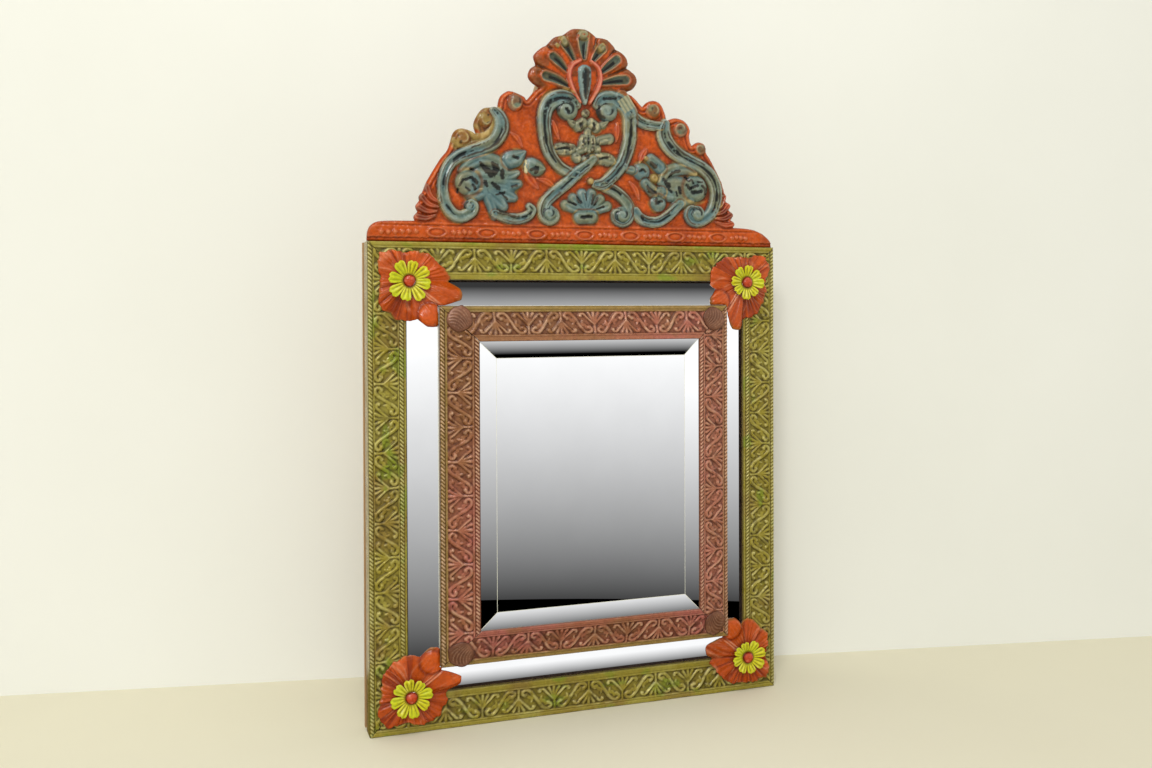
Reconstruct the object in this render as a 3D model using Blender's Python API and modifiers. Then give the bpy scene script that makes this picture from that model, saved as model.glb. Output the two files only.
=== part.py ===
"""Wall mirror in a painted, embossed metal frame, modelled piece by piece.

A mitred wooden frame carries a second, deeper frame that stands proud of it. Thin embossed sheet is
wrapped over both. Four canted strips of mirror fill the margin between the frames, a bevelled mirror
fills the middle, and an embossed crest stands on the top rail. The mirror hangs by a swinging ring.

Lengths are metres. X runs to the right and Z up. The wall is the plane y = 0, and every depth below is
a distance in front of it. The origin is on the wall, behind the middle of the frame.
"""

import math
from functools import partial

import bmesh
import bpy
from mathutils import Matrix, Vector

# Clearance between pieces that seat on each other
GAP = 0.0003

# Outer frame: wooden rails under sheet metal
FRAME_WIDTH = 0.350
FRAME_HEIGHT = 0.381
RAIL_WIDTH = 0.0295
RAIL_DEPTH = 0.0222
BACK_THICKNESS = 0.004
SHEET = 0.001
SIDE_FOLD = 0.0168
LEDGE = 0.005

# Margin mirrors: canted strips held in grooves of both frames
SIDE_MARGIN = 0.023
TOP_MARGIN = 0.0205
BOTTOM_MARGIN = 0.0235
MARGIN_SETBACK = 0.0038
MARGIN_RISE = 0.0125
MARGIN_GLASS = 0.003
GROOVE = 0.003

# Inner frame: its face rises from its outer edge to the centre mirror
INNER_STILE_WIDTH = 0.0296
INNER_RAIL_WIDTH = 0.0274
INNER_WALL = 0.0065
INNER_RISE = 0.008

# Centre mirror
MIRROR_SETBACK = 0.003
MIRROR_THICKNESS = 0.0045
MIRROR_TUCK = 0.003
MIRROR_BEVEL = 0.016
MIRROR_BEVEL_DROP = 0.0018
BACKING_THICKNESS = 0.006
SPACER_HEIGHT = 0.030
SPACER_POSITION = 0.055

# Relief along the strips: rope beads on the stiles, flat rims on the rails, a sunk field between
ROPE_RADIUS = 0.0013
ROPE_INSET = 0.0019
RIM_WIDTH = 0.0032
RIM_HEIGHT = 0.0006
FIELD_INSET = 0.0052
FIELD_SINK = 0.0004
ARC_STEPS = 5

# Running scroll in the field of each strip: a ridged wave with a fan in each of its bays. Each side has
# the length of half a wave, the place along it where a bay opens inwards and how far in the wave runs
OUTER_WAVES = {
    "top": (0.0297, -0.0910, 0.0143), "bottom": (0.0297, -0.0861, 0.0143),
    "left": (0.0267, 0.0811, 0.0137), "right": (0.0264, 0.1269, 0.0137),
}
INNER_WAVES = {
    "top": (0.0273, -0.0799, 0.0135), "bottom": (0.0279, 0.0854, 0.0135),
    "left": (0.0263, 0.0738, 0.0150), "right": (0.0255, 0.0904, 0.0150),
}
WAVE_SWING = 0.0075
WAVE_SHOULDER = 0.27
WAVE_RADIUS = 0.0017
WAVE_HEIGHT = 0.00115
WAVE_ROOT = 0.0005
WAVE_FOOT = 0.0007
WAVE_CLEAR = 0.0030
BAY_OFFSET = 0.0032
BAY_FAN = (0.0070, 0.0044)
BAY_HEIGHT = 0.0008
BAY_SIDES = 4

# Corner ornaments
CORNER_OVERHANG = 0.001
LEAF_CROWN = 0.0017
LEAF_RISE = 0.008
LEAF_REACH = 0.043
LEAF_OUTLINE = (
    (0, 0.0275), (12, 0.033), (24, LEAF_REACH), (34, 0.0375), (41, 0.0310), (57, 0.0325), (76, 0.0285),
    (95, 0.0290), (112, 0.0255), (130, 0.0268), (146, 0.0258), (163, 0.0285), (180, 0.0300),
)
LEAF_BODY = 0.0325
LEAF_LOBE_ANGLE = 46
LEAF_LOBE_FADE = 15
LEAF_STEPS = 40
LEAF_RINGS = 2
FLOWER_RADIUS = 0.0145
FLOWER_NOTCH = 0.0030
FLOWER_CUP = 0.0026
FLOWER_CURVE = 1.5
FLOWER_RINGS = 2
PETALS = 8
PETAL_STEPS = 4
PIN_RADIUS = 0.0012
PIN_HEAD_RADIUS = 0.0042
PIN_HEAD_HEIGHT = 0.0030
PIN_TAIL_RADIUS = 0.0024
PIN_TAIL_HEIGHT = 0.0008
BOSS_RADIUS = 0.0108
BOSS_RIM = 0.0008
BOSS_DOME = 0.0024

# Crest: points of its right half, from its foot to its top, each with the bulge of the arc that follows.
# Its widths are drawn out so that its foot is as wide as the frame
CREST_OUTLINE = (
    (0.1750, 0.0000, 0.00), (0.1750, 0.0045, 0.18), (0.1630, 0.0142, 0.03), (0.1382, 0.0164, 0.06),
    (0.1120, 0.0754, 0.417), (0.0940, 0.0850, 0.335), (0.0733, 0.1065, 0.407), (0.0502, 0.1153, 0.06),
    (0.0374, 0.1259, 0.41), (0.0398, 0.1455, 0.225), (0.0300, 0.1610, 0.137), (0.0143, 0.1704, 0.196),
)
OUTLINE_STEPS = 5
CREST_PLATE = 0.002
CREST_RELIEF = 0.0034
CREST_LIFT = 0.0014
CREST_BOARD = 0.0112
BOARD_INSET = 0.007
BOARD_POINTS = (0, 1, 2, 3, 4, 5, 6, 7, 9, 10, 11)
SCROLL_RADIUS = 0.0043
SCROLL_TAPER = 0.45
SCROLL_STEPS = 2
OUTER_SCROLL = (
    (0.0722, 0.1024), (0.0685, 0.0968), (0.0687, 0.0900), (0.0730, 0.0830), (0.0815, 0.0780),
    (0.0925, 0.0735), (0.1035, 0.0680), (0.1120, 0.0605), (0.1178, 0.0515), (0.1195, 0.0425),
    (0.1180, 0.0330), (0.1135, 0.0250), (0.1065, 0.0212), (0.0990, 0.0218), (0.0935, 0.0260),
    (0.0945, 0.0320),
)
LOWER_TAIL = ((0.0790, 0.0320), (0.0765, 0.0230), (0.0682, 0.0194), (0.0573, 0.0199), (0.0482, 0.0247))
UPPER_CURL = ((0.0455, 0.1070), (0.0540, 0.1030), (0.0610, 0.1060))
STRAP = (
    (-0.0160, 0.1090), (-0.0186, 0.1142), (-0.0264, 0.1185), (-0.0345, 0.1159), (-0.0389, 0.1066),
    (-0.0397, 0.0947), (-0.0379, 0.0827), (-0.0338, 0.0725), (-0.0270, 0.0626), (-0.0182, 0.0558),
    (0.0000, 0.0520), (0.0136, 0.0487), (0.0245, 0.0431), (0.0336, 0.0337), (0.0374, 0.0252),
    (0.0345, 0.0194), (0.0291, 0.0192), (0.0254, 0.0222),
)
# Embossed leaves and eyes: place, half length, half width and angle of each
CREST_LEAVES = (
    (0.1000, 0.0490, 0.0095, 0.0058, 70), (0.0850, 0.0560, 0.0095, 0.0055, 110),
    (0.0720, 0.0540, 0.0085, 0.0050, 30), (0.0653, 0.0396, 0.0080, 0.0045, -35),
    (0.0850, 0.0390, 0.0060, 0.0045, 20), (0.0605, 0.0676, 0.0085, 0.0045, 25),
    (0.0470, 0.0612, 0.0060, 0.0035, -35), (0.0110, 0.0700, 0.0075, 0.0035, 25),
    (0.0130, 0.0830, 0.0085, 0.0040, 35), (0.0090, 0.0960, 0.0065, 0.0035, 40),
    (0.1030, 0.0825, 0.0046, 0.0046, 0), (0.0840, 0.0960, 0.0052, 0.0052, 0),
    (0.0620, 0.1150, 0.0046, 0.0046, 0),
)
SHELL_CENTRE = 0.137
SHELL_RADIUS = 0.0258
SHELL_FLUTE = (0.0086, 0.0050)
SHELL_FLUTES = 7
SHELL_SPREAD = 192
SHELL_DROP = (0.1320, 0.0120, 0.0056)
FAN_CENTRE = 0.0225
FAN_RADIUS = 0.0155
FAN_PETAL = (0.0065, 0.0030)
FAN_PETALS = 5
FAN_SPREAD = 120
FAN_KNOB = 0.0036
BAND_HEIGHT = 0.0080
BAND_PITCH = 0.0405
BAND_OVAL = (0.0088, 0.0041)
BAND_BAR = (0.0092, 0.0019)
BAND_END = 0.0180
BOSS_SIDES = 8
BOSS_RINGS = 4

# Crest battens, hanger and screws
BATTEN_POSITION = 0.062
BATTEN_WIDTH = 0.022
BATTEN_HOUSING = 0.024
BATTEN_REACH = 0.070
BATTEN_SCREW_HEIGHT = 0.042
HANGER_HEIGHT = 0.034
HANGER_WIDTH = 0.044
HANGER_TALL = 0.013
HANGER_PLATE = 0.0012
KNUCKLE_RADIUS = 0.0026
KNUCKLE_LENGTH = 0.010
KNUCKLE_SINK = 0.0006
RING_WIRE = 0.00135
RING_PLAY = 0.0002
RING_HALF_WIDTH = 0.0105
RING_DROP = 0.0100
RING_CORNER = 0.0030
SCREW_HEAD = 0.0032
SCREW_SHANK = 0.0015
SCREW_LENGTH = 0.013
HANGER_SCREW_LENGTH = 0.0075
HANGER_SCREW_POSITION = 0.017
BACK_SCREW_X = 0.110
ROUND_STEPS = 12
SCREW_STEPS = 8
DOME_STEPS = 3
RING_STEPS = 14
RING_CORNER_STEPS = 4

# Depths that follow from the sizes above
RAIL_BACK = BACK_THICKNESS + GAP
RAIL_FRONT = RAIL_BACK + RAIL_DEPTH
STRIP_FRONT = RAIL_FRONT + GAP + SHEET
MARGIN_LOW = STRIP_FRONT - MARGIN_SETBACK
MARGIN_HIGH = MARGIN_LOW + MARGIN_RISE
INNER_LOW = MARGIN_HIGH + INNER_WALL
INNER_HIGH = INNER_LOW + INNER_RISE
MIRROR_EDGE = INNER_HIGH - MIRROR_SETBACK
MIRROR_FRONT = MIRROR_EDGE + MIRROR_BEVEL_DROP
MIRROR_BACK = MIRROR_FRONT - MIRROR_THICKNESS
BACKING_FRONT = MIRROR_BACK - GAP
BACKING_BACK = BACKING_FRONT - BACKING_THICKNESS
RELIEF = max(ROPE_RADIUS, RIM_HEIGHT, WAVE_HEIGHT)
LEAF_CENTRE = STRIP_FRONT + RELIEF + GAP + SHEET + LEAF_CROWN
FOLD_BACK = STRIP_FRONT - SIDE_FOLD
BATTEN_FRONT = FOLD_BACK - GAP
BOARD_BACK = BATTEN_FRONT + GAP
BOARD_FRONT = BOARD_BACK + CREST_BOARD
CREST_BACK = BOARD_FRONT + GAP
RING_AXIS = BOARD_BACK - GAP - HANGER_PLATE - KNUCKLE_RADIUS + KNUCKLE_SINK

# Places that follow from the sizes above: left, right, low and high edges
HALF_WIDTH = FRAME_WIDTH / 2
HALF_HEIGHT = FRAME_HEIGHT / 2
OUTER_EDGES = (-HALF_WIDTH, HALF_WIDTH, -HALF_HEIGHT, HALF_HEIGHT)
INNER_EDGES = (
    -HALF_WIDTH + RAIL_WIDTH + SIDE_MARGIN,
    HALF_WIDTH - RAIL_WIDTH - SIDE_MARGIN,
    -HALF_HEIGHT + RAIL_WIDTH + BOTTOM_MARGIN,
    HALF_HEIGHT - RAIL_WIDTH - TOP_MARGIN,
)
OPENING_EDGES = (
    INNER_EDGES[0] + INNER_STILE_WIDTH,
    INNER_EDGES[1] - INNER_STILE_WIDTH,
    INNER_EDGES[2] + INNER_RAIL_WIDTH,
    INNER_EDGES[3] - INNER_RAIL_WIDTH,
)
CREST_FOOT = HALF_HEIGHT + GAP
CREST_STRETCH = HALF_WIDTH / CREST_OUTLINE[0][0]
CORNER_INSET = RAIL_WIDTH + CORNER_OVERHANG
MARGINS = {"left": SIDE_MARGIN, "right": SIDE_MARGIN, "top": TOP_MARGIN, "bottom": BOTTOM_MARGIN}
INNER_WIDTHS = {
    "left": INNER_STILE_WIDTH, "right": INNER_STILE_WIDTH,
    "top": INNER_RAIL_WIDTH, "bottom": INNER_RAIL_WIDTH,
}
# The sides that each side meets at the start and at the end of its run
NEIGHBOURS = {
    "top": ("left", "right"), "bottom": ("left", "right"),
    "left": ("bottom", "top"), "right": ("bottom", "top"),
}
# Each corner's sides, its signs in x and z, and the turn that points at the middle of the frame
CORNERS = {
    "top_left": (-1, 1, -45), "top_right": (1, 1, -135),
    "bottom_left": (-1, -1, 45), "bottom_right": (1, -1, 135),
}


# Scene, materials and shared tools

def clear_scene():
    for item in list(bpy.data.objects):
        bpy.data.objects.remove(item, do_unlink=True)


def new_collection(name):
    group = bpy.data.collections.new(name)
    bpy.context.scene.collection.children.link(group)
    return group


def new_material(name, colour, roughness, metallic):
    material = bpy.data.materials.new(name)
    material.use_nodes = True
    shader = material.node_tree.nodes["Principled BSDF"]
    shader.inputs["Base Color"].default_value = (*colour, 1.0)
    shader.inputs["Roughness"].default_value = roughness
    shader.inputs["Metallic"].default_value = metallic
    return material


def front_matrix(x, depth, z, turn=0.0):
    """Local Z faces the room and local Y points up, at a point given by its depth from the wall."""
    facing = Matrix.Rotation(math.pi / 2, 4, "X") @ Matrix.Rotation(turn, 4, "Z")
    return Matrix.Translation((x, -depth, z)) @ facing


def add_piece(name, mesh, matrix=None, material=None):
    """A named piece of the mirror, or a hidden cutter when it has no material."""
    piece = bpy.data.objects.new(name, mesh)
    group = PIECES if material else CUTTERS
    group.objects.link(piece)
    piece.parent = ROOT
    if matrix is not None:
        piece.matrix_world = matrix
    if material:
        mesh.materials.append(material)
    else:
        piece.hide_render = True
        piece.display_type = "WIRE"
    return piece


def finish_mesh(bm, name):
    bmesh.ops.recalc_face_normals(bm, faces=bm.faces)
    mesh = bpy.data.meshes.new(name)
    bm.to_mesh(mesh)
    bm.free()
    return mesh


def boolean(target, tool, operation):
    step = target.modifiers.new(tool.name, "BOOLEAN")
    step.operation = operation
    step.solver = "EXACT"
    step.object = tool


def box(name, x_range, depth_range, z_range, material=None):
    bm = bmesh.new()
    bmesh.ops.create_cube(bm, size=1.0)
    size = Vector((x_range[1] - x_range[0], depth_range[1] - depth_range[0], z_range[1] - z_range[0]))
    middle = Vector((sum(x_range) / 2, -sum(depth_range) / 2, sum(z_range) / 2))
    bmesh.ops.scale(bm, vec=size, verts=bm.verts)
    bmesh.ops.translate(bm, vec=middle, verts=bm.verts)
    return add_piece(name, finish_mesh(bm, name), None, material)


def turned(name, profile, matrix, material=None, steps=ROUND_STEPS):
    """A profile of (radius, height), from the top down its outer side, turned about local Z."""
    mesh = bpy.data.meshes.new(name)
    points = [(radius, 0.0, height) for radius, height in profile]
    edges = [(i, i + 1) for i in range(len(points) - 1)]
    mesh.from_pydata(points, edges, [])
    piece = add_piece(name, mesh, matrix, material)
    lathe = piece.modifiers.new("turn", "SCREW")
    lathe.axis = "Z"
    lathe.steps = steps
    lathe.render_steps = steps
    lathe.use_merge_vertices = True
    lathe.merge_threshold = 0.00001
    lathe.use_smooth_shade = False
    return piece


def arc(start, end, bulge, steps):
    """Points from start to just before end, bowed to the right of the way by bulge times the chord."""
    a, b = Vector(start), Vector(end)
    if abs(bulge) < 1e-6:
        return [a]
    chord = b - a
    right = Vector((chord.y, -chord.x))
    half_angle = 2 * math.atan(2 * bulge)
    centre = (a + b) / 2 - right * (0.5 / math.tan(half_angle))
    turn = 2 * half_angle / steps
    return [centre + Matrix.Rotation(turn * i, 2) @ (a - centre) for i in range(steps)]


# Mitred bars of the two frames

def run_of_side(side, edges):
    """Axes along and across one side, the ends of its run, its outer edge and its way in."""
    left, right, low, high = edges
    level = side in ("top", "bottom")
    along, across = (0, 2) if level else (2, 0)
    start, end = (left, right) if level else (low, high)
    edge = {"top": high, "bottom": low, "left": left, "right": right}[side]
    inward = 1 if side in ("bottom", "left") else -1
    return along, across, start, end, edge, inward


def mitred_bar(name, side, edges, profile, insets, material):
    """A profile of (distance in from the outer edge, depth) run along one side between two mitres."""
    along, across, start, end, edge, inward = run_of_side(side, edges)
    bm = bmesh.new()
    ring = []
    for reach, depth in profile:
        point = Vector((0.0, -depth, 0.0))
        point[along] = start + insets[0](reach) + GAP
        point[across] = edge + inward * reach
        ring.append(bm.verts.new(point))
    grown = bmesh.ops.extrude_face_region(bm, geom=[bm.faces.new(ring)])
    for item in grown["geom"]:
        if isinstance(item, bmesh.types.BMVert):
            reach = inward * (item.co[across] - edge)
            item.co[along] = end - insets[1](reach) - GAP
    return add_piece(name, finish_mesh(bm, name), None, material)


def square_insets():
    """Both mitres of an outer bar take off as much length as the distance in."""
    return [lambda reach: reach] * 2


def margin_insets(side):
    """Mitres of the margin run from the outer frame's corner to the inner frame's corner."""
    own = MARGINS[side]

    def inset(neighbour):
        return lambda reach: RAIL_WIDTH + (reach - RAIL_WIDTH) * MARGINS[neighbour] / own

    return [inset(neighbour) for neighbour in NEIGHBOURS[side]]


def inner_insets(side):
    own = INNER_WIDTHS[side]

    def inset(neighbour):
        return lambda reach: reach * INNER_WIDTHS[neighbour] / own

    return [inset(neighbour) for neighbour in NEIGHBOURS[side]]


def margin_front(side, reach):
    """Depth of the margin mirror's face at a distance in from the outer frame's edge."""
    return MARGIN_LOW + MARGIN_RISE * (reach - RAIL_WIDTH) / MARGINS[side]


def margin_back(side, reach):
    slope = math.atan2(MARGIN_RISE, MARGINS[side])
    return margin_front(side, reach) - MARGIN_GLASS / math.cos(slope)


def relief_profile(width, rope):
    """Front of a strip as (distance in, height): edge beads or rims, with a sunk field between."""
    points = []
    for centre in (ROPE_INSET, width - ROPE_INSET):
        if rope:
            for i in range(ARC_STEPS + 1):
                angle = math.pi - math.pi * i / ARC_STEPS
                points.append((centre + ROPE_RADIUS * math.cos(angle), ROPE_RADIUS * math.sin(angle)))
        else:
            half = RIM_WIDTH / 2
            outer = max(centre - half, GAP) if centre < width / 2 else centre - half
            inner = min(centre + half, width - GAP)
            points += [(outer, 0.0), (outer + RIM_HEIGHT, RIM_HEIGHT)]
            points += [(inner - RIM_HEIGHT, RIM_HEIGHT), (inner, 0.0)]
        if centre < width / 2:
            points += [(FIELD_INSET, -FIELD_SINK), (width - FIELD_INSET, -FIELD_SINK)]
    return points


def wave_bays(wave, start, end):
    """Places along a side where its wave turns, each with the way that it swings: -1 out, 1 in."""
    half, place, _ = wave
    first = math.ceil((start - place) / half)
    last = math.floor((end - place) / half)
    return [(place + half * i, -1 if i % 2 == 0 else 1) for i in range(first, last + 1)]


def wave_mesh(name, wave, bays):
    """A ridged rib through the bays, flat underneath, as (place along, distance in, height)."""
    half, _, middle = wave
    shoulder = WAVE_SHOULDER * half
    points = []
    for along, way in bays:
        reach = middle + way * WAVE_SWING
        points += [(along - shoulder, reach), (along + shoulder, reach)]
    curve = bpy.data.curves.new(name, "CURVE")
    curve.dimensions = "3D"
    curve.twist_mode = "Z_UP"
    curve.bevel_depth = WAVE_RADIUS
    curve.bevel_resolution = 0
    curve.use_fill_caps = True
    spline = curve.splines.new("POLY")
    spline.points.add(len(points) - 1)
    for knot, (x, y) in zip(spline.points, points):
        knot.co = (x, y, 0.0, 1.0)
    mesh = mesh_of_curve(curve, name)
    for vert in mesh.vertices:
        share = vert.co.z / WAVE_RADIUS
        rise = WAVE_HEIGHT + WAVE_ROOT if share > 0 else WAVE_FOOT - WAVE_ROOT
        vert.co.z = rise * share - WAVE_ROOT
    return mesh


def emboss_wave(strip, side, edges, wave, front, clear):
    """Raise the running scroll and its fans from the face of a strip, short of the ends by clear."""
    along, across, start, end, edge, inward = run_of_side(side, edges)
    bays = wave_bays(wave, start + clear, end - clear)
    name = strip.name + "_wave"
    bm = bmesh.new()
    bm.from_mesh(wave_mesh(name, wave, bays))
    for place, way in bays:
        middle = Vector((place, wave[2] - way * BAY_OFFSET, (BAY_HEIGHT - WAVE_ROOT) / 2))
        shape = Matrix.Diagonal((*BAY_FAN, BAY_HEIGHT + WAVE_ROOT, 1.0))
        bmesh.ops.create_cone(
            bm, cap_ends=True, segments=BAY_SIDES, radius1=1.0, radius2=0.0, depth=1.0,
            matrix=Matrix.Translation(middle) @ shape,
        )
    for vert in bm.verts:
        place, reach, height = vert.co
        point = Vector((0.0, -front(reach) - height, 0.0))
        point[along] = place
        point[across] = edge + inward * reach
        vert.co = point
    boolean(strip, add_piece(name, finish_mesh(bm, name)), "UNION")


def build_rails():
    for side in NEIGHBOURS:
        skin = SHEET + GAP
        groove = RAIL_WIDTH - GROOVE - GAP
        shelf = RAIL_WIDTH + LEDGE
        profile = [
            (skin, RAIL_BACK), (shelf, RAIL_BACK), (shelf, margin_back(side, shelf) - GAP),
            (groove, margin_back(side, groove) - GAP), (groove, margin_front(side, groove) + GAP),
            (RAIL_WIDTH - skin, margin_front(side, RAIL_WIDTH - skin) + GAP),
            (RAIL_WIDTH - skin, RAIL_FRONT), (skin, RAIL_FRONT),
        ]
        mitred_bar("outer_rail_" + side, side, OUTER_EDGES, profile, square_insets(), WOOD)


def inner_front(side, reach):
    """Depth of the inner strip's plain face at a distance in from the inner frame's edge."""
    return INNER_LOW + INNER_RISE * reach / INNER_WIDTHS[side]


def build_inner_rails():
    for side in NEIGHBOURS:
        skin = SHEET + GAP
        groove = GROOVE + GAP
        seat = INNER_WIDTHS[side] - MIRROR_TUCK - GAP
        start = RAIL_WIDTH + MARGINS[side]
        profile = [
            (skin, RAIL_BACK), (seat, RAIL_BACK), (seat, inner_front(side, seat) - skin),
            (skin, inner_front(side, skin) - skin), (skin, margin_front(side, start + skin) + GAP),
            (groove, margin_front(side, start + groove) + GAP),
            (groove, margin_back(side, start + groove) - GAP),
            (skin, margin_back(side, start + skin) - GAP),
        ]
        mitred_bar("inner_rail_" + side, side, INNER_EDGES, profile, inner_insets(side), WOOD)


def build_margin_mirrors():
    for side in NEIGHBOURS:
        outer = RAIL_WIDTH - GROOVE
        inner = RAIL_WIDTH + MARGINS[side] + GROOVE
        profile = [
            (outer, margin_front(side, outer)), (inner, margin_front(side, inner)),
            (inner, margin_back(side, inner)), (outer, margin_back(side, outer)),
        ]
        mitred_bar("margin_mirror_" + side, side, OUTER_EDGES, profile, margin_insets(side), GLASS)


def build_outer_strips():
    for side in NEIGHBOURS:
        rope = side in ("left", "right")
        face = [(reach, STRIP_FRONT + height) for reach, height in relief_profile(RAIL_WIDTH, rope)]
        tuck = MARGIN_LOW + GAP
        profile = [(0.0, FOLD_BACK), (0.0, STRIP_FRONT)] + face + [
            (RAIL_WIDTH, STRIP_FRONT), (RAIL_WIDTH, tuck), (RAIL_WIDTH - SHEET, tuck),
            (RAIL_WIDTH - SHEET, RAIL_FRONT + GAP), (SHEET, RAIL_FRONT + GAP), (SHEET, FOLD_BACK),
        ]
        strip = mitred_bar("outer_strip_" + side, side, OUTER_EDGES, profile, square_insets(), OLIVE)
        clear = CORNER_INSET + FLOWER_RADIUS + WAVE_CLEAR
        emboss_wave(strip, side, OUTER_EDGES, OUTER_WAVES[side], lambda reach: STRIP_FRONT, clear)


def build_inner_strips():
    for side in NEIGHBOURS:
        rope = side in ("left", "right")
        width = INNER_WIDTHS[side]
        start = RAIL_WIDTH + MARGINS[side]
        face = [(reach, inner_front(side, reach) + height) for reach, height in relief_profile(width, rope)]
        outer_tuck = margin_front(side, start + SHEET) + GAP
        inner_tuck = MIRROR_EDGE + MIRROR_BEVEL_DROP * MIRROR_TUCK / MIRROR_BEVEL + GAP
        profile = [(0.0, outer_tuck), (0.0, INNER_LOW)] + face + [
            (width, INNER_HIGH), (width, inner_tuck), (width - SHEET, inner_tuck),
            (width - SHEET, inner_front(side, width - SHEET) - SHEET),
            (SHEET, inner_front(side, SHEET) - SHEET), (SHEET, outer_tuck),
        ]
        strip = mitred_bar("inner_strip_" + side, side, INNER_EDGES, profile, inner_insets(side), MAROON)
        clear = max(INNER_WIDTHS.values()) + WAVE_CLEAR
        emboss_wave(strip, side, INNER_EDGES, INNER_WAVES[side], partial(inner_front, side), clear)


# Centre mirror and what stands behind it

def build_centre():
    left, right, low, high = OPENING_EDGES
    x_range = (left - MIRROR_TUCK, right + MIRROR_TUCK)
    z_range = (low - MIRROR_TUCK, high + MIRROR_TUCK)
    mirror = box("centre_mirror", x_range, (MIRROR_BACK, MIRROR_EDGE), z_range, GLASS)
    bm = bmesh.new()
    bm.from_mesh(mirror.data)
    front = [face for face in bm.faces if face.normal.y < -0.5]
    bmesh.ops.inset_region(bm, faces=front, thickness=MIRROR_BEVEL, depth=MIRROR_BEVEL_DROP)
    bm.to_mesh(mirror.data)
    bm.free()
    box("mirror_backing", x_range, (BACKING_BACK, BACKING_FRONT), z_range, PINE)
    for name, sign in (("upper", 1), ("lower", -1)):
        middle = (z_range[0] + z_range[1]) / 2 + sign * SPACER_POSITION
        span = (middle - SPACER_HEIGHT / 2, middle + SPACER_HEIGHT / 2)
        box("backing_spacer_" + name, x_range, (RAIL_BACK, BACKING_BACK - GAP), span, PINE)


# Corner leaves, flowers, pins and bosses

def eased(table, angle):
    """Value at an angle in degrees, eased between the rows of a table."""
    for (a, low), (b, high) in zip(table, table[1:]):
        if angle <= b:
            share = (1 - math.cos(math.pi * (angle - a) / (b - a))) / 2
            return low + (high - low) * share
    return table[-1][1]


def spun_sheet(name, hole, rings, steps, reach, height, matrix, material):
    """A sheet spun about a hole, drawn out to reach(angle) and raised to height(angle, radius)."""
    bm = bmesh.new()
    line = [bm.verts.new((1.0 + i, 0.0, 0.0)) for i in range(rings + 1)]
    edges = [bm.edges.new(pair) for pair in zip(line, line[1:])]
    bmesh.ops.spin(
        bm, geom=line + edges, cent=(0, 0, 0), axis=(0, 0, 1), angle=2 * math.pi, steps=steps,
        use_merge=True,
    )
    for vert in bm.verts:
        angle = math.atan2(vert.co.y, vert.co.x)
        share = (vert.co.length - 1.0) / rings
        radius = hole + (reach(angle) - hole) * share
        vert.co = (radius * math.cos(angle), radius * math.sin(angle), height(angle, radius))
    mesh = finish_mesh(bm, name)
    if mesh.polygons[0].normal.z < 0:
        mesh.flip_normals()
    piece = add_piece(name, mesh, matrix, material)
    shell = piece.modifiers.new("sheet", "SOLIDIFY")
    shell.thickness = SHEET
    shell.offset = -1.0
    return piece


def leaf_reach(angle):
    return eased(LEAF_OUTLINE, abs(math.degrees(angle)))


def leaf_height(angle, radius):
    """The body falls from the flower to the frame; the two lobes climb over the margin."""
    share = min(max((LEAF_LOBE_ANGLE - abs(math.degrees(angle))) / LEAF_LOBE_FADE, 0.0), 1.0)
    lobe = share * share * (3 - 2 * share)
    body = -LEAF_CROWN * (radius / LEAF_BODY) ** 2
    return body + (LEAF_RISE * radius / LEAF_REACH - body) * lobe


def flower_reach(angle):
    return FLOWER_RADIUS - FLOWER_NOTCH * (0.5 - 0.5 * math.cos(PETALS * angle)) ** 2


def flower_height(angle, radius):
    return FLOWER_CUP * (radius / FLOWER_RADIUS) ** FLOWER_CURVE


def dome(radius, base, rise):
    """Profile of a domed head, from its crown down to its rim."""
    angles = [math.pi / 2 * i / DOME_STEPS for i in range(DOME_STEPS + 1)]
    return [(radius * math.sin(angle), base + rise * math.cos(angle)) for angle in angles]


def build_corners():
    hole = PIN_RADIUS + GAP
    flower_seat = SHEET + GAP + LEAF_RISE * FLOWER_RADIUS / LEAF_REACH
    head_seat = flower_seat + GAP + flower_height(0.0, PIN_HEAD_RADIUS)
    for corner, (sign_x, sign_z, degrees) in CORNERS.items():
        x = sign_x * (HALF_WIDTH - CORNER_INSET)
        z = sign_z * (HALF_HEIGHT - CORNER_INSET)
        turn = math.radians(degrees)
        matrix = front_matrix(x, LEAF_CENTRE, z, turn)
        name = "corner_leaf_" + corner
        spun_sheet(name, hole, LEAF_RINGS, LEAF_STEPS, leaf_reach, leaf_height, matrix, LEAF)
        above = front_matrix(x, LEAF_CENTRE + flower_seat, z, turn)
        name = "corner_flower_" + corner
        steps = PETALS * PETAL_STEPS
        spun_sheet(name, hole, FLOWER_RINGS, steps, flower_reach, flower_height, above, YELLOW)
        tail = -SHEET - GAP
        profile = dome(PIN_HEAD_RADIUS, head_seat, PIN_HEAD_HEIGHT) + [
            (PIN_RADIUS, head_seat), (PIN_RADIUS, tail), (PIN_TAIL_RADIUS, tail),
            (PIN_TAIL_RADIUS, tail - PIN_TAIL_HEIGHT), (0.0, tail - PIN_TAIL_HEIGHT),
        ]
        turned("flower_pin_" + corner, profile, matrix, RED)
        build_boss(corner, sign_x, sign_z, turn)


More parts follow.
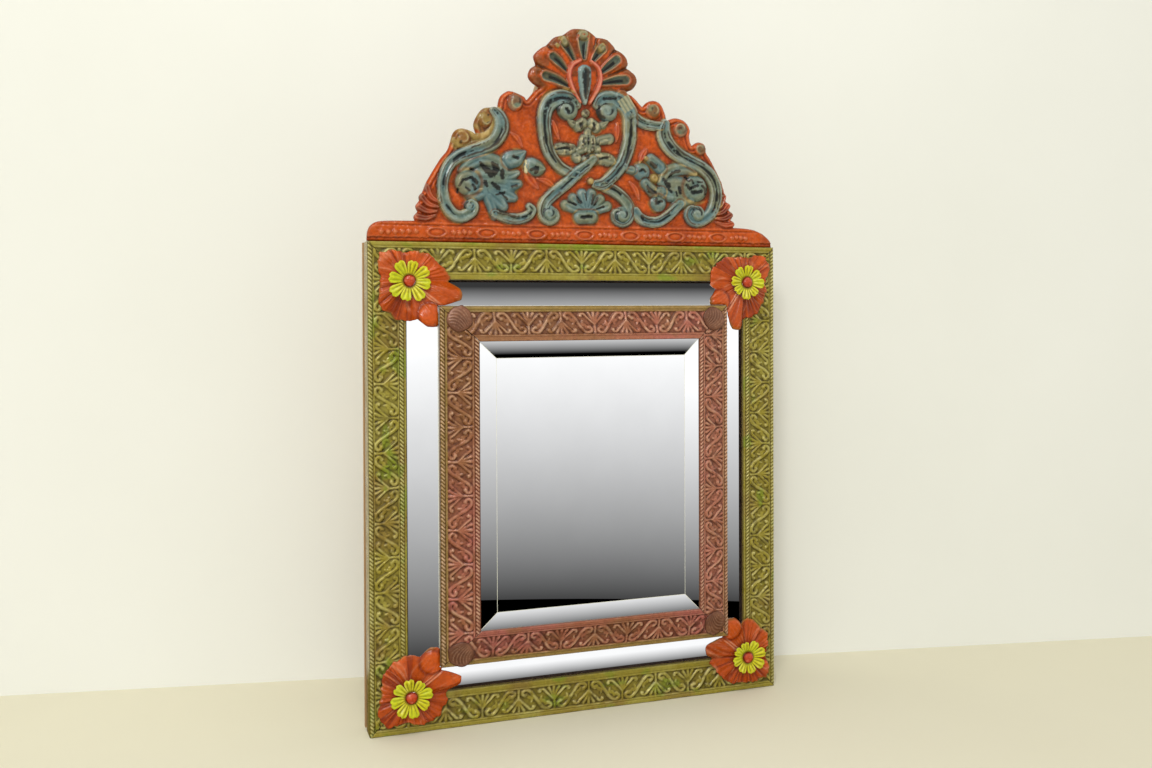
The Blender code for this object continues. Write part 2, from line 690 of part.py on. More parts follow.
def build_boss(corner, sign_x, sign_z, turn):
    """A domed boss on the mitre of the inner frame, leaning with its rising face."""
    edge_x = INNER_EDGES[1] if sign_x > 0 else INNER_EDGES[0]
    edge_z = INNER_EDGES[3] if sign_z > 0 else INNER_EDGES[2]
    x = edge_x - sign_x * INNER_STILE_WIDTH / 2
    z = edge_z - sign_z * INNER_RAIL_WIDTH / 2
    seat = INNER_LOW + INNER_RISE / 2 - FIELD_SINK + GAP
    lean = math.atan2(INNER_RISE, math.hypot(INNER_STILE_WIDTH, INNER_RAIL_WIDTH))
    matrix = front_matrix(x, seat, z, turn) @ Matrix.Rotation(-lean, 4, "Y")
    profile = dome(BOSS_RADIUS, BOSS_RIM, BOSS_DOME) + [(BOSS_RADIUS, 0.0), (0.0, 0.0)]
    turned("corner_boss_" + corner, profile, matrix, MAROON)


# Crest

def crest_points():
    """The whole outline, from the right foot over the top to the left foot."""
    right = [(x * CREST_STRETCH, y) for x, y, bulge in CREST_OUTLINE]
    bulges = [bulge for x, y, bulge in CREST_OUTLINE]
    anchors = right + [(-x, y) for x, y in reversed(right)]
    turns = bulges[:-1] + [bulges[-1]] + list(reversed(bulges[:-1]))
    points = []
    for start, end, bulge in zip(anchors, anchors[1:], turns):
        points += arc(start, end, bulge, OUTLINE_STEPS)
    return points + [Vector(anchors[-1])]


def mesh_of_curve(curve, name):
    """A mesh of a curve with its loose caps welded on. The curve is removed."""
    holder = bpy.data.objects.new(name + "_path", curve)
    CUTTERS.objects.link(holder)
    bpy.context.view_layer.update()
    evaluated = holder.evaluated_get(bpy.context.evaluated_depsgraph_get())
    mesh = bpy.data.meshes.new_from_object(evaluated)
    mesh.name = name
    bpy.data.objects.remove(holder, do_unlink=True)
    bm = bmesh.new()
    bm.from_mesh(mesh)
    bmesh.ops.remove_doubles(bm, verts=bm.verts, dist=1e-6)
    bmesh.ops.recalc_face_normals(bm, faces=bm.faces)
    bm.to_mesh(mesh)
    bm.free()
    return mesh


def flat_plate(points, thickness, name):
    """A flat outline with its back on local z = 0."""
    curve = bpy.data.curves.new(name, "CURVE")
    curve.dimensions = "2D"
    curve.fill_mode = "BOTH"
    curve.extrude = thickness / 2
    spline = curve.splines.new("POLY")
    spline.points.add(len(points) - 1)
    for knot, (x, y) in zip(spline.points, points):
        knot.co = (x, y, 0.0, 1.0)
    spline.use_cyclic_u = True
    mesh = mesh_of_curve(curve, name)
    mesh.transform(Matrix.Translation((0.0, 0.0, thickness / 2)))
    return mesh


def add_scroll(curve, points, side):
    """A rib that swells from its ends, on one side of the crest."""
    spline = curve.splines.new("BEZIER")
    spline.bezier_points.add(len(points) - 1)
    for i, (knot, (x, y)) in enumerate(zip(spline.bezier_points, points)):
        knot.co = (side * x * CREST_STRETCH, y, 0.0)
        knot.handle_left_type = "AUTO"
        knot.handle_right_type = "AUTO"
        knot.radius = SCROLL_TAPER if i in (0, len(points) - 1) else 1.0


def scroll_tool(name, scrolls):
    """Swept ribs, flattened to the relief's height and set in the face of the crest."""
    curve = bpy.data.curves.new(name, "CURVE")
    curve.dimensions = "3D"
    curve.bevel_depth = SCROLL_RADIUS
    curve.bevel_resolution = 1
    curve.resolution_u = SCROLL_STEPS
    curve.use_fill_caps = True
    for points, side in scrolls:
        add_scroll(curve, points, side)
    mesh = mesh_of_curve(curve, name)
    mesh.transform(Matrix.Diagonal((1.0, 1.0, CREST_RELIEF / SCROLL_RADIUS, 1.0)))
    mesh.transform(Matrix.Translation((0.0, 0.0, CREST_PLATE + CREST_LIFT)))
    return add_piece(name, mesh, CREST_MATRIX)


def crest_bosses():
    """Place, half length, half width and angle of every oval boss of the relief."""
    bosses = []
    for x, y, length, width, degrees in CREST_LEAVES:
        bosses.append((x * CREST_STRETCH, y, length, width, degrees))
        bosses.append((-x * CREST_STRETCH, y, length, width, 180 - degrees))
    for i in range(SHELL_FLUTES):
        degrees = 90 + SHELL_SPREAD * (i / (SHELL_FLUTES - 1) - 0.5)
        angle = math.radians(degrees)
        x = SHELL_RADIUS * math.cos(angle)
        bosses.append((x, SHELL_CENTRE + SHELL_RADIUS * math.sin(angle), *SHELL_FLUTE, degrees))
    bosses.append((0.0, *SHELL_DROP, 90))
    for i in range(FAN_PETALS):
        degrees = 90 + FAN_SPREAD * (i / (FAN_PETALS - 1) - 0.5)
        angle = math.radians(degrees)
        x = FAN_RADIUS * math.cos(angle)
        bosses.append((x, FAN_CENTRE + FAN_RADIUS * math.sin(angle), *FAN_PETAL, degrees))
    bosses.append((0.0, FAN_CENTRE, FAN_KNOB, FAN_KNOB, 0))
    count = 2 * int((HALF_WIDTH - BAND_END) / BAND_PITCH) + 1
    for i in range(count):
        x = (i - (count - 1) / 2) * BAND_PITCH
        bosses.append((x, BAND_HEIGHT, *BAND_OVAL, 0))
        if i < count - 1:
            bosses.append((x + BAND_PITCH / 2, BAND_HEIGHT, *BAND_BAR, 0))
    return bosses


def boss_tool(name):
    bm = bmesh.new()
    for x, y, length, width, degrees in crest_bosses():
        place = Matrix.Translation((x, y, CREST_PLATE + CREST_LIFT))
        shape = Matrix.Diagonal((length, width, min(width, CREST_RELIEF), 1.0))
        matrix = place @ Matrix.Rotation(math.radians(degrees), 4, "Z") @ shape
        bmesh.ops.create_uvsphere(
            bm, u_segments=BOSS_SIDES, v_segments=BOSS_RINGS, radius=1.0, matrix=matrix,
        )
    return add_piece(name, finish_mesh(bm, name), CREST_MATRIX)


def build_crest():
    mesh = flat_plate(crest_points(), CREST_PLATE, "crest_plate")
    plate = add_piece("crest_plate", mesh, CREST_MATRIX, ORANGE)
    pair = (1, -1)
    outer = [(points, side) for points in (OUTER_SCROLL, LOWER_TAIL, UPPER_CURL) for side in pair]
    boolean(plate, boss_tool("crest_bosses"), "UNION")
    boolean(plate, scroll_tool("crest_scrolls", outer), "UNION")
    for side, name in zip(pair, ("crest_strap_a", "crest_strap_b")):
        boolean(plate, scroll_tool(name, [(STRAP, side)]), "UNION")


def build_crest_board():
    """A plain board behind the crest, inside its outline, carried by two battens let into the top rail."""
    half = [CREST_OUTLINE[i][:2] for i in BOARD_POINTS]
    right = [(x * CREST_STRETCH - BOARD_INSET, max(y - BOARD_INSET, 0.0)) for x, y in half]
    outline = right + [(-x, y) for x, y in reversed(right)]
    matrix = front_matrix(0.0, BOARD_BACK, CREST_FOOT)
    board = add_piece("crest_board", flat_plate(outline, CREST_BOARD, "crest_board"), matrix, PINE)
    rail = bpy.data.objects["outer_rail_top"]
    for name, sign in (("left", -1), ("right", 1)):
        middle = sign * BATTEN_POSITION
        span = (middle - BATTEN_WIDTH / 2, middle + BATTEN_WIDTH / 2)
        low = HALF_HEIGHT - BATTEN_HOUSING
        high = CREST_FOOT + BATTEN_REACH
        batten = box("crest_batten_" + name, span, (RAIL_BACK, BATTEN_FRONT), (low, high), PINE)
        wide = (span[0] - GAP, span[1] + GAP)
        housing = box("housing_" + name, wide, (0.0, BATTEN_FRONT + GAP), (low - GAP, high))
        boolean(rail, housing, "DIFFERENCE")
        lower = HALF_HEIGHT - BATTEN_HOUSING / 2
        upper = CREST_FOOT + BATTEN_SCREW_HEIGHT
        add_screw("batten_screw_lower_" + name, middle, RAIL_BACK, lower, SCREW_LENGTH, [batten, rail])
        add_screw("batten_screw_upper_" + name, middle, RAIL_BACK, upper, SCREW_LENGTH, [batten, board])
    return board


# Back panel, screws and hanger

def screw_profile(length, play):
    """A countersunk screw, head at the bottom; play widens it to the hole that it turns in."""
    shank = SCREW_SHANK + play
    profile = [
        (0.0, length + play), (shank, length + play - SCREW_SHANK), (shank, SCREW_HEAD - SCREW_SHANK),
        (SCREW_HEAD + play, 0.0),
    ]
    if play:
        profile.append((SCREW_HEAD + play, -SCREW_HEAD))
    return profile + [(0.0, profile[-1][1])]


def add_screw(name, x, depth, z, length, targets):
    """A screw driven from the back, head flush, and its hole through the pieces that it joins."""
    matrix = front_matrix(x, depth, z)
    turned(name, screw_profile(length, 0.0), matrix, STEEL, SCREW_STEPS)
    hole = turned(name + "_hole", screw_profile(length, GAP), matrix, None, SCREW_STEPS)
    for target in targets:
        boolean(target, hole, "DIFFERENCE")


def build_back():
    x_range, z_range = OUTER_EDGES[:2], OUTER_EDGES[2:]
    panel = box("back_panel", x_range, (0.0, BACK_THICKNESS), z_range, PINE)
    level = HALF_HEIGHT - RAIL_WIDTH / 2
    side = HALF_WIDTH - RAIL_WIDTH / 2
    places = {
        "top_left": ("top", -BACK_SCREW_X, level), "top_right": ("top", BACK_SCREW_X, level),
        "bottom_left": ("bottom", -BACK_SCREW_X, -level), "bottom_right": ("bottom", BACK_SCREW_X, -level),
        "left": ("left", -side, 0.0), "right": ("right", side, 0.0),
    }
    for name, (rail, x, z) in places.items():
        targets = [panel, bpy.data.objects["outer_rail_" + rail]]
        add_screw("back_screw_" + name, x, 0.0, z, SCREW_LENGTH, targets)


def lying_cylinder(name, radius, length):
    """A cylinder along X about the hanger's axis."""
    bm = bmesh.new()
    bmesh.ops.create_cone(
        bm, cap_ends=True, segments=ROUND_STEPS, radius1=radius, radius2=radius, depth=length,
        matrix=Matrix.Rotation(math.pi / 2, 4, "Y"),
    )
    return add_piece(name, finish_mesh(bm, name), Matrix.Translation(HANGER_AXIS))


def ring_path():
    """A D ring seen from the front: a straight bar on the axis, two rounded corners and a round bow."""
    half, corner = RING_HALF_WIDTH, RING_CORNER
    quarter_bulge = -math.tan(math.pi / 8) / 2
    half_bulge = -0.5
    points = [Vector((-half + corner, 0.0))]
    points += arc((half - corner, 0.0), (half, -corner), quarter_bulge, RING_CORNER_STEPS)
    points.append(Vector((half, -corner)))
    points += arc((half, -RING_DROP), (-half, -RING_DROP), half_bulge, RING_STEPS)
    points.append(Vector((-half, -RING_DROP)))
    points += arc((-half, -corner), (-half + corner, 0.0), quarter_bulge, RING_CORNER_STEPS)
    return points


def build_hanger(board):
    plate_depths = (BOARD_BACK - GAP - HANGER_PLATE, BOARD_BACK - GAP)
    middle = HANGER_AXIS.z
    x_range = (-HANGER_WIDTH / 2, HANGER_WIDTH / 2)
    z_range = (middle - HANGER_TALL / 2, middle + HANGER_TALL / 2)
    plate = box("hanger_plate", x_range, plate_depths, z_range, BRASS)
    boolean(plate, lying_cylinder("knuckle", KNUCKLE_RADIUS, KNUCKLE_LENGTH), "UNION")
    boolean(plate, lying_cylinder("knuckle_bore", RING_WIRE + RING_PLAY, 2 * KNUCKLE_LENGTH), "DIFFERENCE")
    for name, sign in (("left", -1), ("right", 1)):
        x = sign * HANGER_SCREW_POSITION
        add_screw("hanger_screw_" + name, x, plate_depths[0], middle, HANGER_SCREW_LENGTH, [plate, board])
    curve = bpy.data.curves.new("hanger_ring", "CURVE")
    curve.dimensions = "3D"
    curve.bevel_depth = RING_WIRE
    curve.bevel_resolution = 1
    points = ring_path()
    spline = curve.splines.new("POLY")
    spline.points.add(len(points) - 1)
    for knot, (x, y) in zip(spline.points, points):
        knot.co = (x, y, 0.0, 1.0)
    spline.use_cyclic_u = True
    facing = front_matrix(HANGER_AXIS.x, RING_AXIS, HANGER_AXIS.z)
    add_piece("hanger_ring", mesh_of_curve(curve, "hanger_ring"), facing, BRASS)


clear_scene()
PIECES = new_collection("copper_framed_mirror")
CUTTERS = new_collection("cutters")
ROOT = bpy.data.objects.new("mirror_frame_origin", None)
PIECES.objects.link(ROOT)

WOOD = new_material("stained_wood", (0.23, 0.13, 0.07), 0.7, 0.0)
PINE = new_material("bare_pine", (0.52, 0.36, 0.20), 0.75, 0.0)
GLASS = new_material("mirror_glass", (0.90, 0.92, 0.92), 0.03, 1.0)
OLIVE = new_material("olive_painted_metal", (0.22, 0.19, 0.05), 0.38, 0.3)
MAROON = new_material("maroon_painted_metal", (0.25, 0.11, 0.08), 0.38, 0.3)
ORANGE = new_material("orange_painted_metal", (0.52, 0.09, 0.03), 0.36, 0.3)
LEAF = new_material("red_painted_metal", (0.50, 0.08, 0.03), 0.36, 0.3)
YELLOW = new_material("yellow_painted_metal", (0.68, 0.62, 0.04), 0.36, 0.2)
RED = new_material("red_pin", (0.55, 0.09, 0.05), 0.35, 0.2)
BRASS = new_material("brass", (0.62, 0.44, 0.16), 0.35, 1.0)
STEEL = new_material("steel_screw", (0.42, 0.40, 0.37), 0.4, 1.0)

CREST_MATRIX = front_matrix(0.0, CREST_BACK, CREST_FOOT)
HANGER_AXIS = Vector((0.0, -RING_AXIS, CREST_FOOT + HANGER_HEIGHT))

build_rails()
build_inner_rails()
build_margin_mirrors()
build_outer_strips()
build_inner_strips()
build_centre()
build_corners()
build_crest()
build_back()
build_hanger(build_crest_board())
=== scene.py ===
import math

import bmesh
import bpy
import numpy as np
from mathutils import Matrix, Vector


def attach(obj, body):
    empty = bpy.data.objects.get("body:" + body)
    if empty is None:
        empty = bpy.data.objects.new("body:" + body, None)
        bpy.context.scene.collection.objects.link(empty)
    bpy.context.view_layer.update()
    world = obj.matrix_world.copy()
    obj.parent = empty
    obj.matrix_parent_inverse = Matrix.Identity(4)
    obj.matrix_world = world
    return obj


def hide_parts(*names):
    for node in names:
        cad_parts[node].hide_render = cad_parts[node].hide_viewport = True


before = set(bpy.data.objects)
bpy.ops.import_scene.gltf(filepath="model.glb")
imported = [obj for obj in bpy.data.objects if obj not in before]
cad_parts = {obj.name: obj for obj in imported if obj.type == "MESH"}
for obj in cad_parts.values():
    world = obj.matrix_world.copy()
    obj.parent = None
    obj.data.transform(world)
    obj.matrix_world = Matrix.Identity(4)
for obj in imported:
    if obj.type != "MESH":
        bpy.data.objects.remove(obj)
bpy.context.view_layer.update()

# Lengths here are millimetres, and a depth is a distance in front of the wall, so y = -depth.
MM = 0.001
GAP = 0.3
SHEET = 1.0

# Places of the frame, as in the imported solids
HALF_WIDTH, HALF_HEIGHT = 175.0, 190.5
RAIL = 29.5
MARGIN = {"left": 23.0, "right": 23.0, "top": 20.5, "bottom": 23.5}
INNER = {"left": 29.6, "right": 29.6, "top": 27.4, "bottom": 27.4}
OUTER_EDGES = (-HALF_WIDTH, HALF_WIDTH, -HALF_HEIGHT, HALF_HEIGHT)
INNER_EDGES = (-122.5, 122.5, -137.5, 140.5)
OPENING = (-92.9, 92.9, -110.1, 113.1)
RAIL_FRONT, STRIP_FRONT, FOLD_BACK = 26.5, 27.8, 11.0
MARGIN_LOW, MARGIN_RISE, MARGIN_GLASS, GROOVE = 24.0, 12.5, 3.0, 3.0
INNER_LOW, INNER_RISE = 43.0, 8.0
MIRROR_EDGE, BEVEL_DROP, BEVEL, TUCK, MIRROR_BACK = 48.0, 1.8, 16.0, 3.0, 45.3
LEAF_DEPTH, LEAF_RISE, LEAF_REACH, LEAF_CROWN, LEAF_BODY = 32.1, 8.0, 43.0, 1.7, 32.5
CORNER_IN, FLOWER_RADIUS, PIN_HOLE, PIN_HEAD = 30.5, 14.5, 1.5, 4.7
CREST_FOOT, CREST_BACK, CREST_FRONT, CREST_TOP = 190.8, 22.5, 24.5, 175.7
NEIGHBOURS = {
    "top": ("left", "right"), "bottom": ("left", "right"),
    "left": ("bottom", "top"), "right": ("bottom", "top"),
}
CORNERS = {
    "top_left": (-1, 1, -45), "top_right": (1, 1, -135),
    "bottom_left": (-1, -1, 45), "bottom_right": (1, -1, 135),
}


# Small tools

GLOSS_LIGHT = 0.014
NOISE_CELLS = 61


def linear(*rgb):
    """An 8-bit screen colour as linear light."""
    c = np.array(rgb, float) / 255
    return np.where(c <= 0.04045, c / 12.92, ((c + 0.055) / 1.055) ** 2.4)


def pigment(*rgb):
    """A screen colour less the light that the gloss of the paint adds to it."""
    return np.clip(linear(*rgb) - GLOSS_LIGHT, 0.002, 1)


def ease(low, high, x):
    t = np.clip((x - low) / (high - low), 0, 1)
    return t * t * (3 - 2 * t)


def fade(low, high, x):
    return 1 - ease(low, high, x)


def dome(share, power=2):
    """Height of a round form, 1 to 0, at a share of its half width."""
    return np.sqrt(np.clip(1 - share ** power, 0, 1))


def bead(off, height, width):
    return height * np.exp(-((off / width) ** 2))


def mix(a, b, share):
    share = np.asarray(share, float)
    return a + (b - a) * (share[..., None] if share.ndim else share)


def noise(x, y, cell, seed):
    """Smooth seeded noise from -1 to 1."""
    table = np.random.default_rng(seed).uniform(-1, 1, (NOISE_CELLS, NOISE_CELLS))
    x, y = np.broadcast_arrays(np.asarray(x, float), np.asarray(y, float))
    u, v = x / cell + 1000, y / cell + 1000
    i, j = np.floor(u).astype(int), np.floor(v).astype(int)
    a, b = ease(0, 1, u - i), ease(0, 1, v - j)

    def pick(p, q):
        return table[p % NOISE_CELLS, q % NOISE_CELLS]

    low = pick(i, j) * (1 - a) + pick(i + 1, j) * a
    high = pick(i, j + 1) * (1 - a) + pick(i + 1, j + 1) * a
    return low * (1 - b) + high * b


def rough_noise(x, y, cell, seed):
    return (noise(x, y, cell, seed) + 0.5 * noise(x, y, cell / 2.1, seed + 1)
            + 0.25 * noise(x, y, cell / 4.3, seed + 2)) / 1.4


def blur(field, radius):
    """Box blur of a table, twice, with its edge rows repeated."""
    for _ in range(2):
        for axis in (0, 1):
            pad = [(0, 0), (0, 0)]
            pad[axis] = (radius + 1, radius)
            total = np.cumsum(np.pad(field, pad, mode="edge"), axis=axis)
            n = 2 * radius + 1
            high = np.take(total, np.arange(n, total.shape[axis]), axis=axis)
            low = np.take(total, np.arange(0, total.shape[axis] - n), axis=axis)
            field = (high - low) / n
    return field


def smooth_line(points, step=0.8):
    """A smooth line through points, by Catmull-Rom."""
    p = np.array(points, float)
    q = np.vstack([2 * p[0] - p[1], p, 2 * p[-1] - p[-2]])
    out = []
    for a, b, c, d in zip(q, q[1:], q[2:], q[3:]):
        n = max(2, int(np.hypot(*(c - b)[:2]) / step))
        t = np.arange(n)[:, None] / n
        out.append(0.5 * (2 * b + (c - a) * t + (2 * a - 5 * b + 4 * c - d) * t ** 2
                          + (3 * b - a - 3 * c + d) * t ** 3))
    return np.vstack(out + [p[-1:]])


def measure(line, x, z, reach):
    """Of the points within reach radii of a line of (x, z, radius): their numbers, their signed share of the
    radius and their distance along the line."""
    big = line[:, 2].max() * reach
    low, high = line[:, :2].min(0) - big, line[:, :2].max(0) + big
    at = np.flatnonzero((x > low[0]) & (x < high[0]) & (z > low[1]) & (z < high[1]))
    best = np.full(len(at), 99.0)
    side, run = np.zeros(len(at)), np.zeros(len(at))
    px, pz, gone = x[at], z[at], 0.0
    for a, b in zip(line, line[1:]):
        dx, dz = b[0] - a[0], b[1] - a[1]
        length = math.hypot(dx, dz)
        if length < 1e-6:
            continue
        t = np.clip(((px - a[0]) * dx + (pz - a[1]) * dz) / length ** 2, 0, 1)
        ox, oz = px - a[0] - t * dx, pz - a[1] - t * dz
        w = np.hypot(ox, oz) / (a[2] + t * (b[2] - a[2]))
        near = w < best
        best = np.where(near, w, best)
        side = np.where(near, np.where(dx * oz - dz * ox < 0, -1.0, 1.0), side)
        run = np.where(near, gone + t * length, run)
        gone += length
    keep = best < reach
    return at[keep], best[keep] * side[keep], run[keep]


# Materials

PAINT_SPECULAR = 0.32
SPECK_SCALE, SPECK_TONE, SPECK_BUMP = 420.0, (0.86, 1.14), 0.25
GLOSS_SCALE = 95.0
BUMP_DISTANCE = 0.0004
NOISE_SPAN = (0.3, 0.7)


class Look:
    """A new material and the nodes that its looks are made with."""

    def __init__(self, name, metallic):
        self.material = bpy.data.materials.new(name)
        self.material.use_nodes = True
        self.nodes, self.link = self.material.node_tree.nodes, self.material.node_tree.links.new
        self.inputs = self.nodes["Principled BSDF"].inputs
        self.inputs["Metallic"].default_value = metallic

    def grain(self, scale, detail, stretch=None):
        place = self.nodes.new("ShaderNodeTexCoord").outputs["Object"]
        grain = self.nodes.new("ShaderNodeTexNoise")
        grain.inputs["Scale"].default_value = scale
        grain.inputs["Detail"].default_value = detail
        if stretch:
            mapping = self.nodes.new("ShaderNodeMapping")
            mapping.inputs["Scale"].default_value = stretch
            self.link(place, mapping.inputs["Vector"])
            place = mapping.outputs["Vector"]
        self.link(place, grain.inputs["Vector"])
        return grain.outputs["Fac"]

    def ranged(self, source, low, high):
        node = self.nodes.new("ShaderNodeMapRange")
        for key, value in zip(("From Min", "From Max", "To Min", "To Max"), (*NOISE_SPAN, low, high)):
            node.inputs[key].default_value = value
        self.link(source, node.inputs["Value"])
        return node.outputs["Result"]

    def bump(self, source, strength):
        bump = self.nodes.new("ShaderNodeBump")
        bump.inputs["Strength"].default_value = strength
        bump.inputs["Distance"].default_value = BUMP_DISTANCE
        self.link(source, bump.inputs["Height"])
        self.link(bump.outputs["Normal"], self.inputs["Normal"])


def painted(name, low, high, metallic=0.0):
    """Brushed-on glossy paint: its colours are painted on the piece, its tone and gloss are uneven."""
    look = Look(name, metallic)
    look.inputs["Specular IOR Level"].default_value = PAINT_SPECULAR
    paint = look.nodes.new("ShaderNodeVertexColor")
    paint.layer_name = "paint"
    speck = look.grain(SPECK_SCALE, 5.0)
    tone = look.nodes.new("ShaderNodeMix")
    tone.data_type, tone.blend_type = "RGBA", "MULTIPLY"
    tone.inputs["Factor"].default_value = 1.0
    look.link(paint.outputs["Color"], tone.inputs["A"])
    look.link(look.ranged(speck, *SPECK_TONE), tone.inputs["B"])
    look.link(tone.outputs["Result"], look.inputs["Base Color"])
    look.link(look.ranged(look.grain(GLOSS_SCALE, 3.0), low, high), look.inputs["Roughness"])
    look.bump(speck, SPECK_BUMP)
    return look.material


def two_tone(name, dark, light, scale, rough, metallic=0.0, stretch=None, bump=0.2):
    """Two colours run into each other by a grain, with gloss and bump from the same grain."""
    look = Look(name, metallic)
    grain = look.grain(scale, 5.0, stretch)
    blend = look.nodes.new("ShaderNodeMix")
    blend.data_type = "RGBA"
    blend.inputs["A"].default_value = (*linear(*dark), 1)
    blend.inputs["B"].default_value = (*linear(*light), 1)
    look.link(look.ranged(grain, 0, 1), blend.inputs["Factor"])
    look.link(blend.outputs["Result"], look.inputs["Base Color"])
    look.link(look.ranged(grain, *rough), look.inputs["Roughness"])
    look.bump(grain, bump)
    return look.material


CREST_PAINT = painted("crest_paint", 0.15, 0.32)
OLIVE_PAINT = painted("olive_paint", 0.22, 0.40, 0.12)
MAROON_PAINT = painted("maroon_paint", 0.22, 0.40, 0.10)
LEAF_PAINT = painted("leaf_paint", 0.17, 0.34)
FLOWER_PAINT = painted("flower_paint", 0.28, 0.45)
PIN_PAINT = painted("pin_paint", 0.12, 0.25)
SILVERED = two_tone("silvered_glass", (248, 249, 250), (252, 253, 254), 30, (0.0, 0.006), 1.0, None, 0.0)
GROUND_GLASS_AND_GLINT = two_tone("ground_glass_and_glint", (226, 226, 206), (248, 247, 232), 220, (0.25, 0.4))
WOOD_X = two_tone("stained_wood_x", (62, 42, 27), (98, 68, 44), 60, (0.5, 0.7), 0, (0.08, 1, 1))
WOOD_Z = two_tone("stained_wood_z", (62, 42, 27), (98, 68, 44), 60, (0.5, 0.7), 0, (1, 1, 0.08))
PINE_X = two_tone("bare_pine_x", (168, 128, 82), (204, 168, 120), 130, (0.6, 0.8), 0, (0.03, 1, 1))
PINE_Z = two_tone("bare_pine_z", (160, 120, 76), (198, 160, 112), 130, (0.6, 0.8), 0, (1, 1, 0.03))
BRASS = two_tone("worn_brass", (150, 116, 58), (196, 160, 88), 260, (0.25, 0.5), 1.0)
STEEL = two_tone("worn_steel", (96, 92, 86), (150, 146, 138), 300, (0.3, 0.55), 1.0)


# Pieces

def add_piece(name, points, faces, materials, replaced, paint=None, flat=()):
    """A piece of points (x, depth, z) in millimetres that stands for CAD nodes and rides on the frame."""
    points = np.asarray(points, float)
    mesh = bpy.data.meshes.new(name)
    placed = np.column_stack([points[:, 0], -points[:, 1], points[:, 2]]) * MM
    mesh.from_pydata(placed.tolist(), [], [list(map(int, face)) for face in faces])
    smooth = np.ones(len(mesh.polygons), bool)
    smooth[list(flat)] = False
    mesh.polygons.foreach_set("use_smooth", smooth)
    if paint is not None:
        layer = mesh.color_attributes.new("paint", "FLOAT_COLOR", "POINT")
        colour = np.column_stack([np.clip(paint, 0, 1), np.ones(len(points))]).astype(np.float32)
        layer.data.foreach_set("color", colour.ravel())
    bm = bmesh.new()
    bm.from_mesh(mesh)
    bmesh.ops.recalc_face_normals(bm, faces=bm.faces)
    bm.to_mesh(mesh)
    bm.free()
    for material in materials:
        mesh.materials.append(material)
    piece = bpy.data.objects.new(name, mesh)
    bpy.context.scene.collection.objects.link(piece)
    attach(piece, "frame")
    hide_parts(*replaced)
    return piece


# Crest

ORANGE, DEEP_ORANGE, LIT_ORANGE = pigment(196, 86, 34), pigment(168, 72, 27), pigment(212, 100, 52)
BRICK, SIENNA, GARNET = pigment(126, 48, 20), pigment(120, 66, 28), pigment(180, 74, 42)
ROSE, PINK = pigment(200, 82, 66), pigment(226, 150, 128)
CREAM, BUFF = pigment(208, 198, 154), pigment(250, 222, 178)
BLUE, GREY_GREEN, PALE_BLUE = pigment(95, 123, 125), pigment(112, 125, 106), pigment(142, 163, 158)
INK = pigment(22, 26, 28)
GOLD, GOLD_BROWN, GOLD_PALE = pigment(176, 150, 86), pigment(150, 126, 70), pigment(196, 172, 110)
UMBER, SHELL_GREY, OLIVE_GREY = pigment(104, 62, 30), pigment(112, 112, 88), pigment(134, 130, 96)

# The outline, from the left foot over the top to the right foot: its start, and runs that meet in notches
CREST_START = (-175, 0)
CREST_RUNS = (
    ((-174.2, 7.8), (-170.6, 13.0), (-162.5, 15.5), (-137.9, 16.2)), ((-138.6, 19.5), (-135.6, 23.2)),
    ((-137.2, 27.4), (-134.2, 31.8)), ((-134.4, 35.2), (-131.6, 38.6)),
    ((-127.9, 47.5), (-117.8, 64.2), (-111.4, 72.7), (-106.8, 86), (-100.1, 89.7), (-92.5, 87.6),
     (-88.6, 85.3)),
    ((-90.4, 94.3), (-83.9, 105.4), (-75.4, 107.6), (-71, 107.5)),
    ((-69.2, 115.5), (-64.9, 119.9), (-59.6, 121.5), (-50, 118.3), (-46.5, 115.1)),
    ((-39.5, 123.1), (-35.9, 125.5)), ((-42.2, 129.3), (-45.4, 134.1), (-43.6, 140.1), (-38.8, 143.7)),
    ((-40.6, 150.9), (-34.9, 157.2), (-29.5, 160.4)), ((-23.3, 166.9), (-15.2, 169.8)),
    ((-8, 174.9), (-1.6, 175.7), (4.8, 175.4), (13.5, 170.0)), ((23.1, 168.4), (30.5, 161.5)),
    ((38.3, 156.6), (41.0, 150.6), (40.2, 146.6)),
    ((47.3, 141.2), (49.0, 135.6), (45.5, 129.6), (38.8, 126.2)), ((45.3, 123.2), (53.8, 115.2)),
    ((58.5, 119.4), (64.2, 120.9), (70.4, 118.5), (74.4, 111), (75.7, 104.8)),
    ((83.4, 107.4), (92, 105.6), (97.4, 98.8), (96.9, 91.7), (98.9, 84.9)),
    ((104.8, 88.1), (110.7, 86.4), (112.8, 79.2), (118.5, 70.6), (127.4, 53.7), (131.6, 38.4)),
    ((135.2, 35.4), (134.0, 31.4)), ((137.6, 27.0), (135.8, 22.8)), ((138.8, 19.4), (138, 16.4)),
    ((152.5, 15.6), (162.7, 13.0), (169.4, 8.9), (174, 4.2), (175, 0)),
)
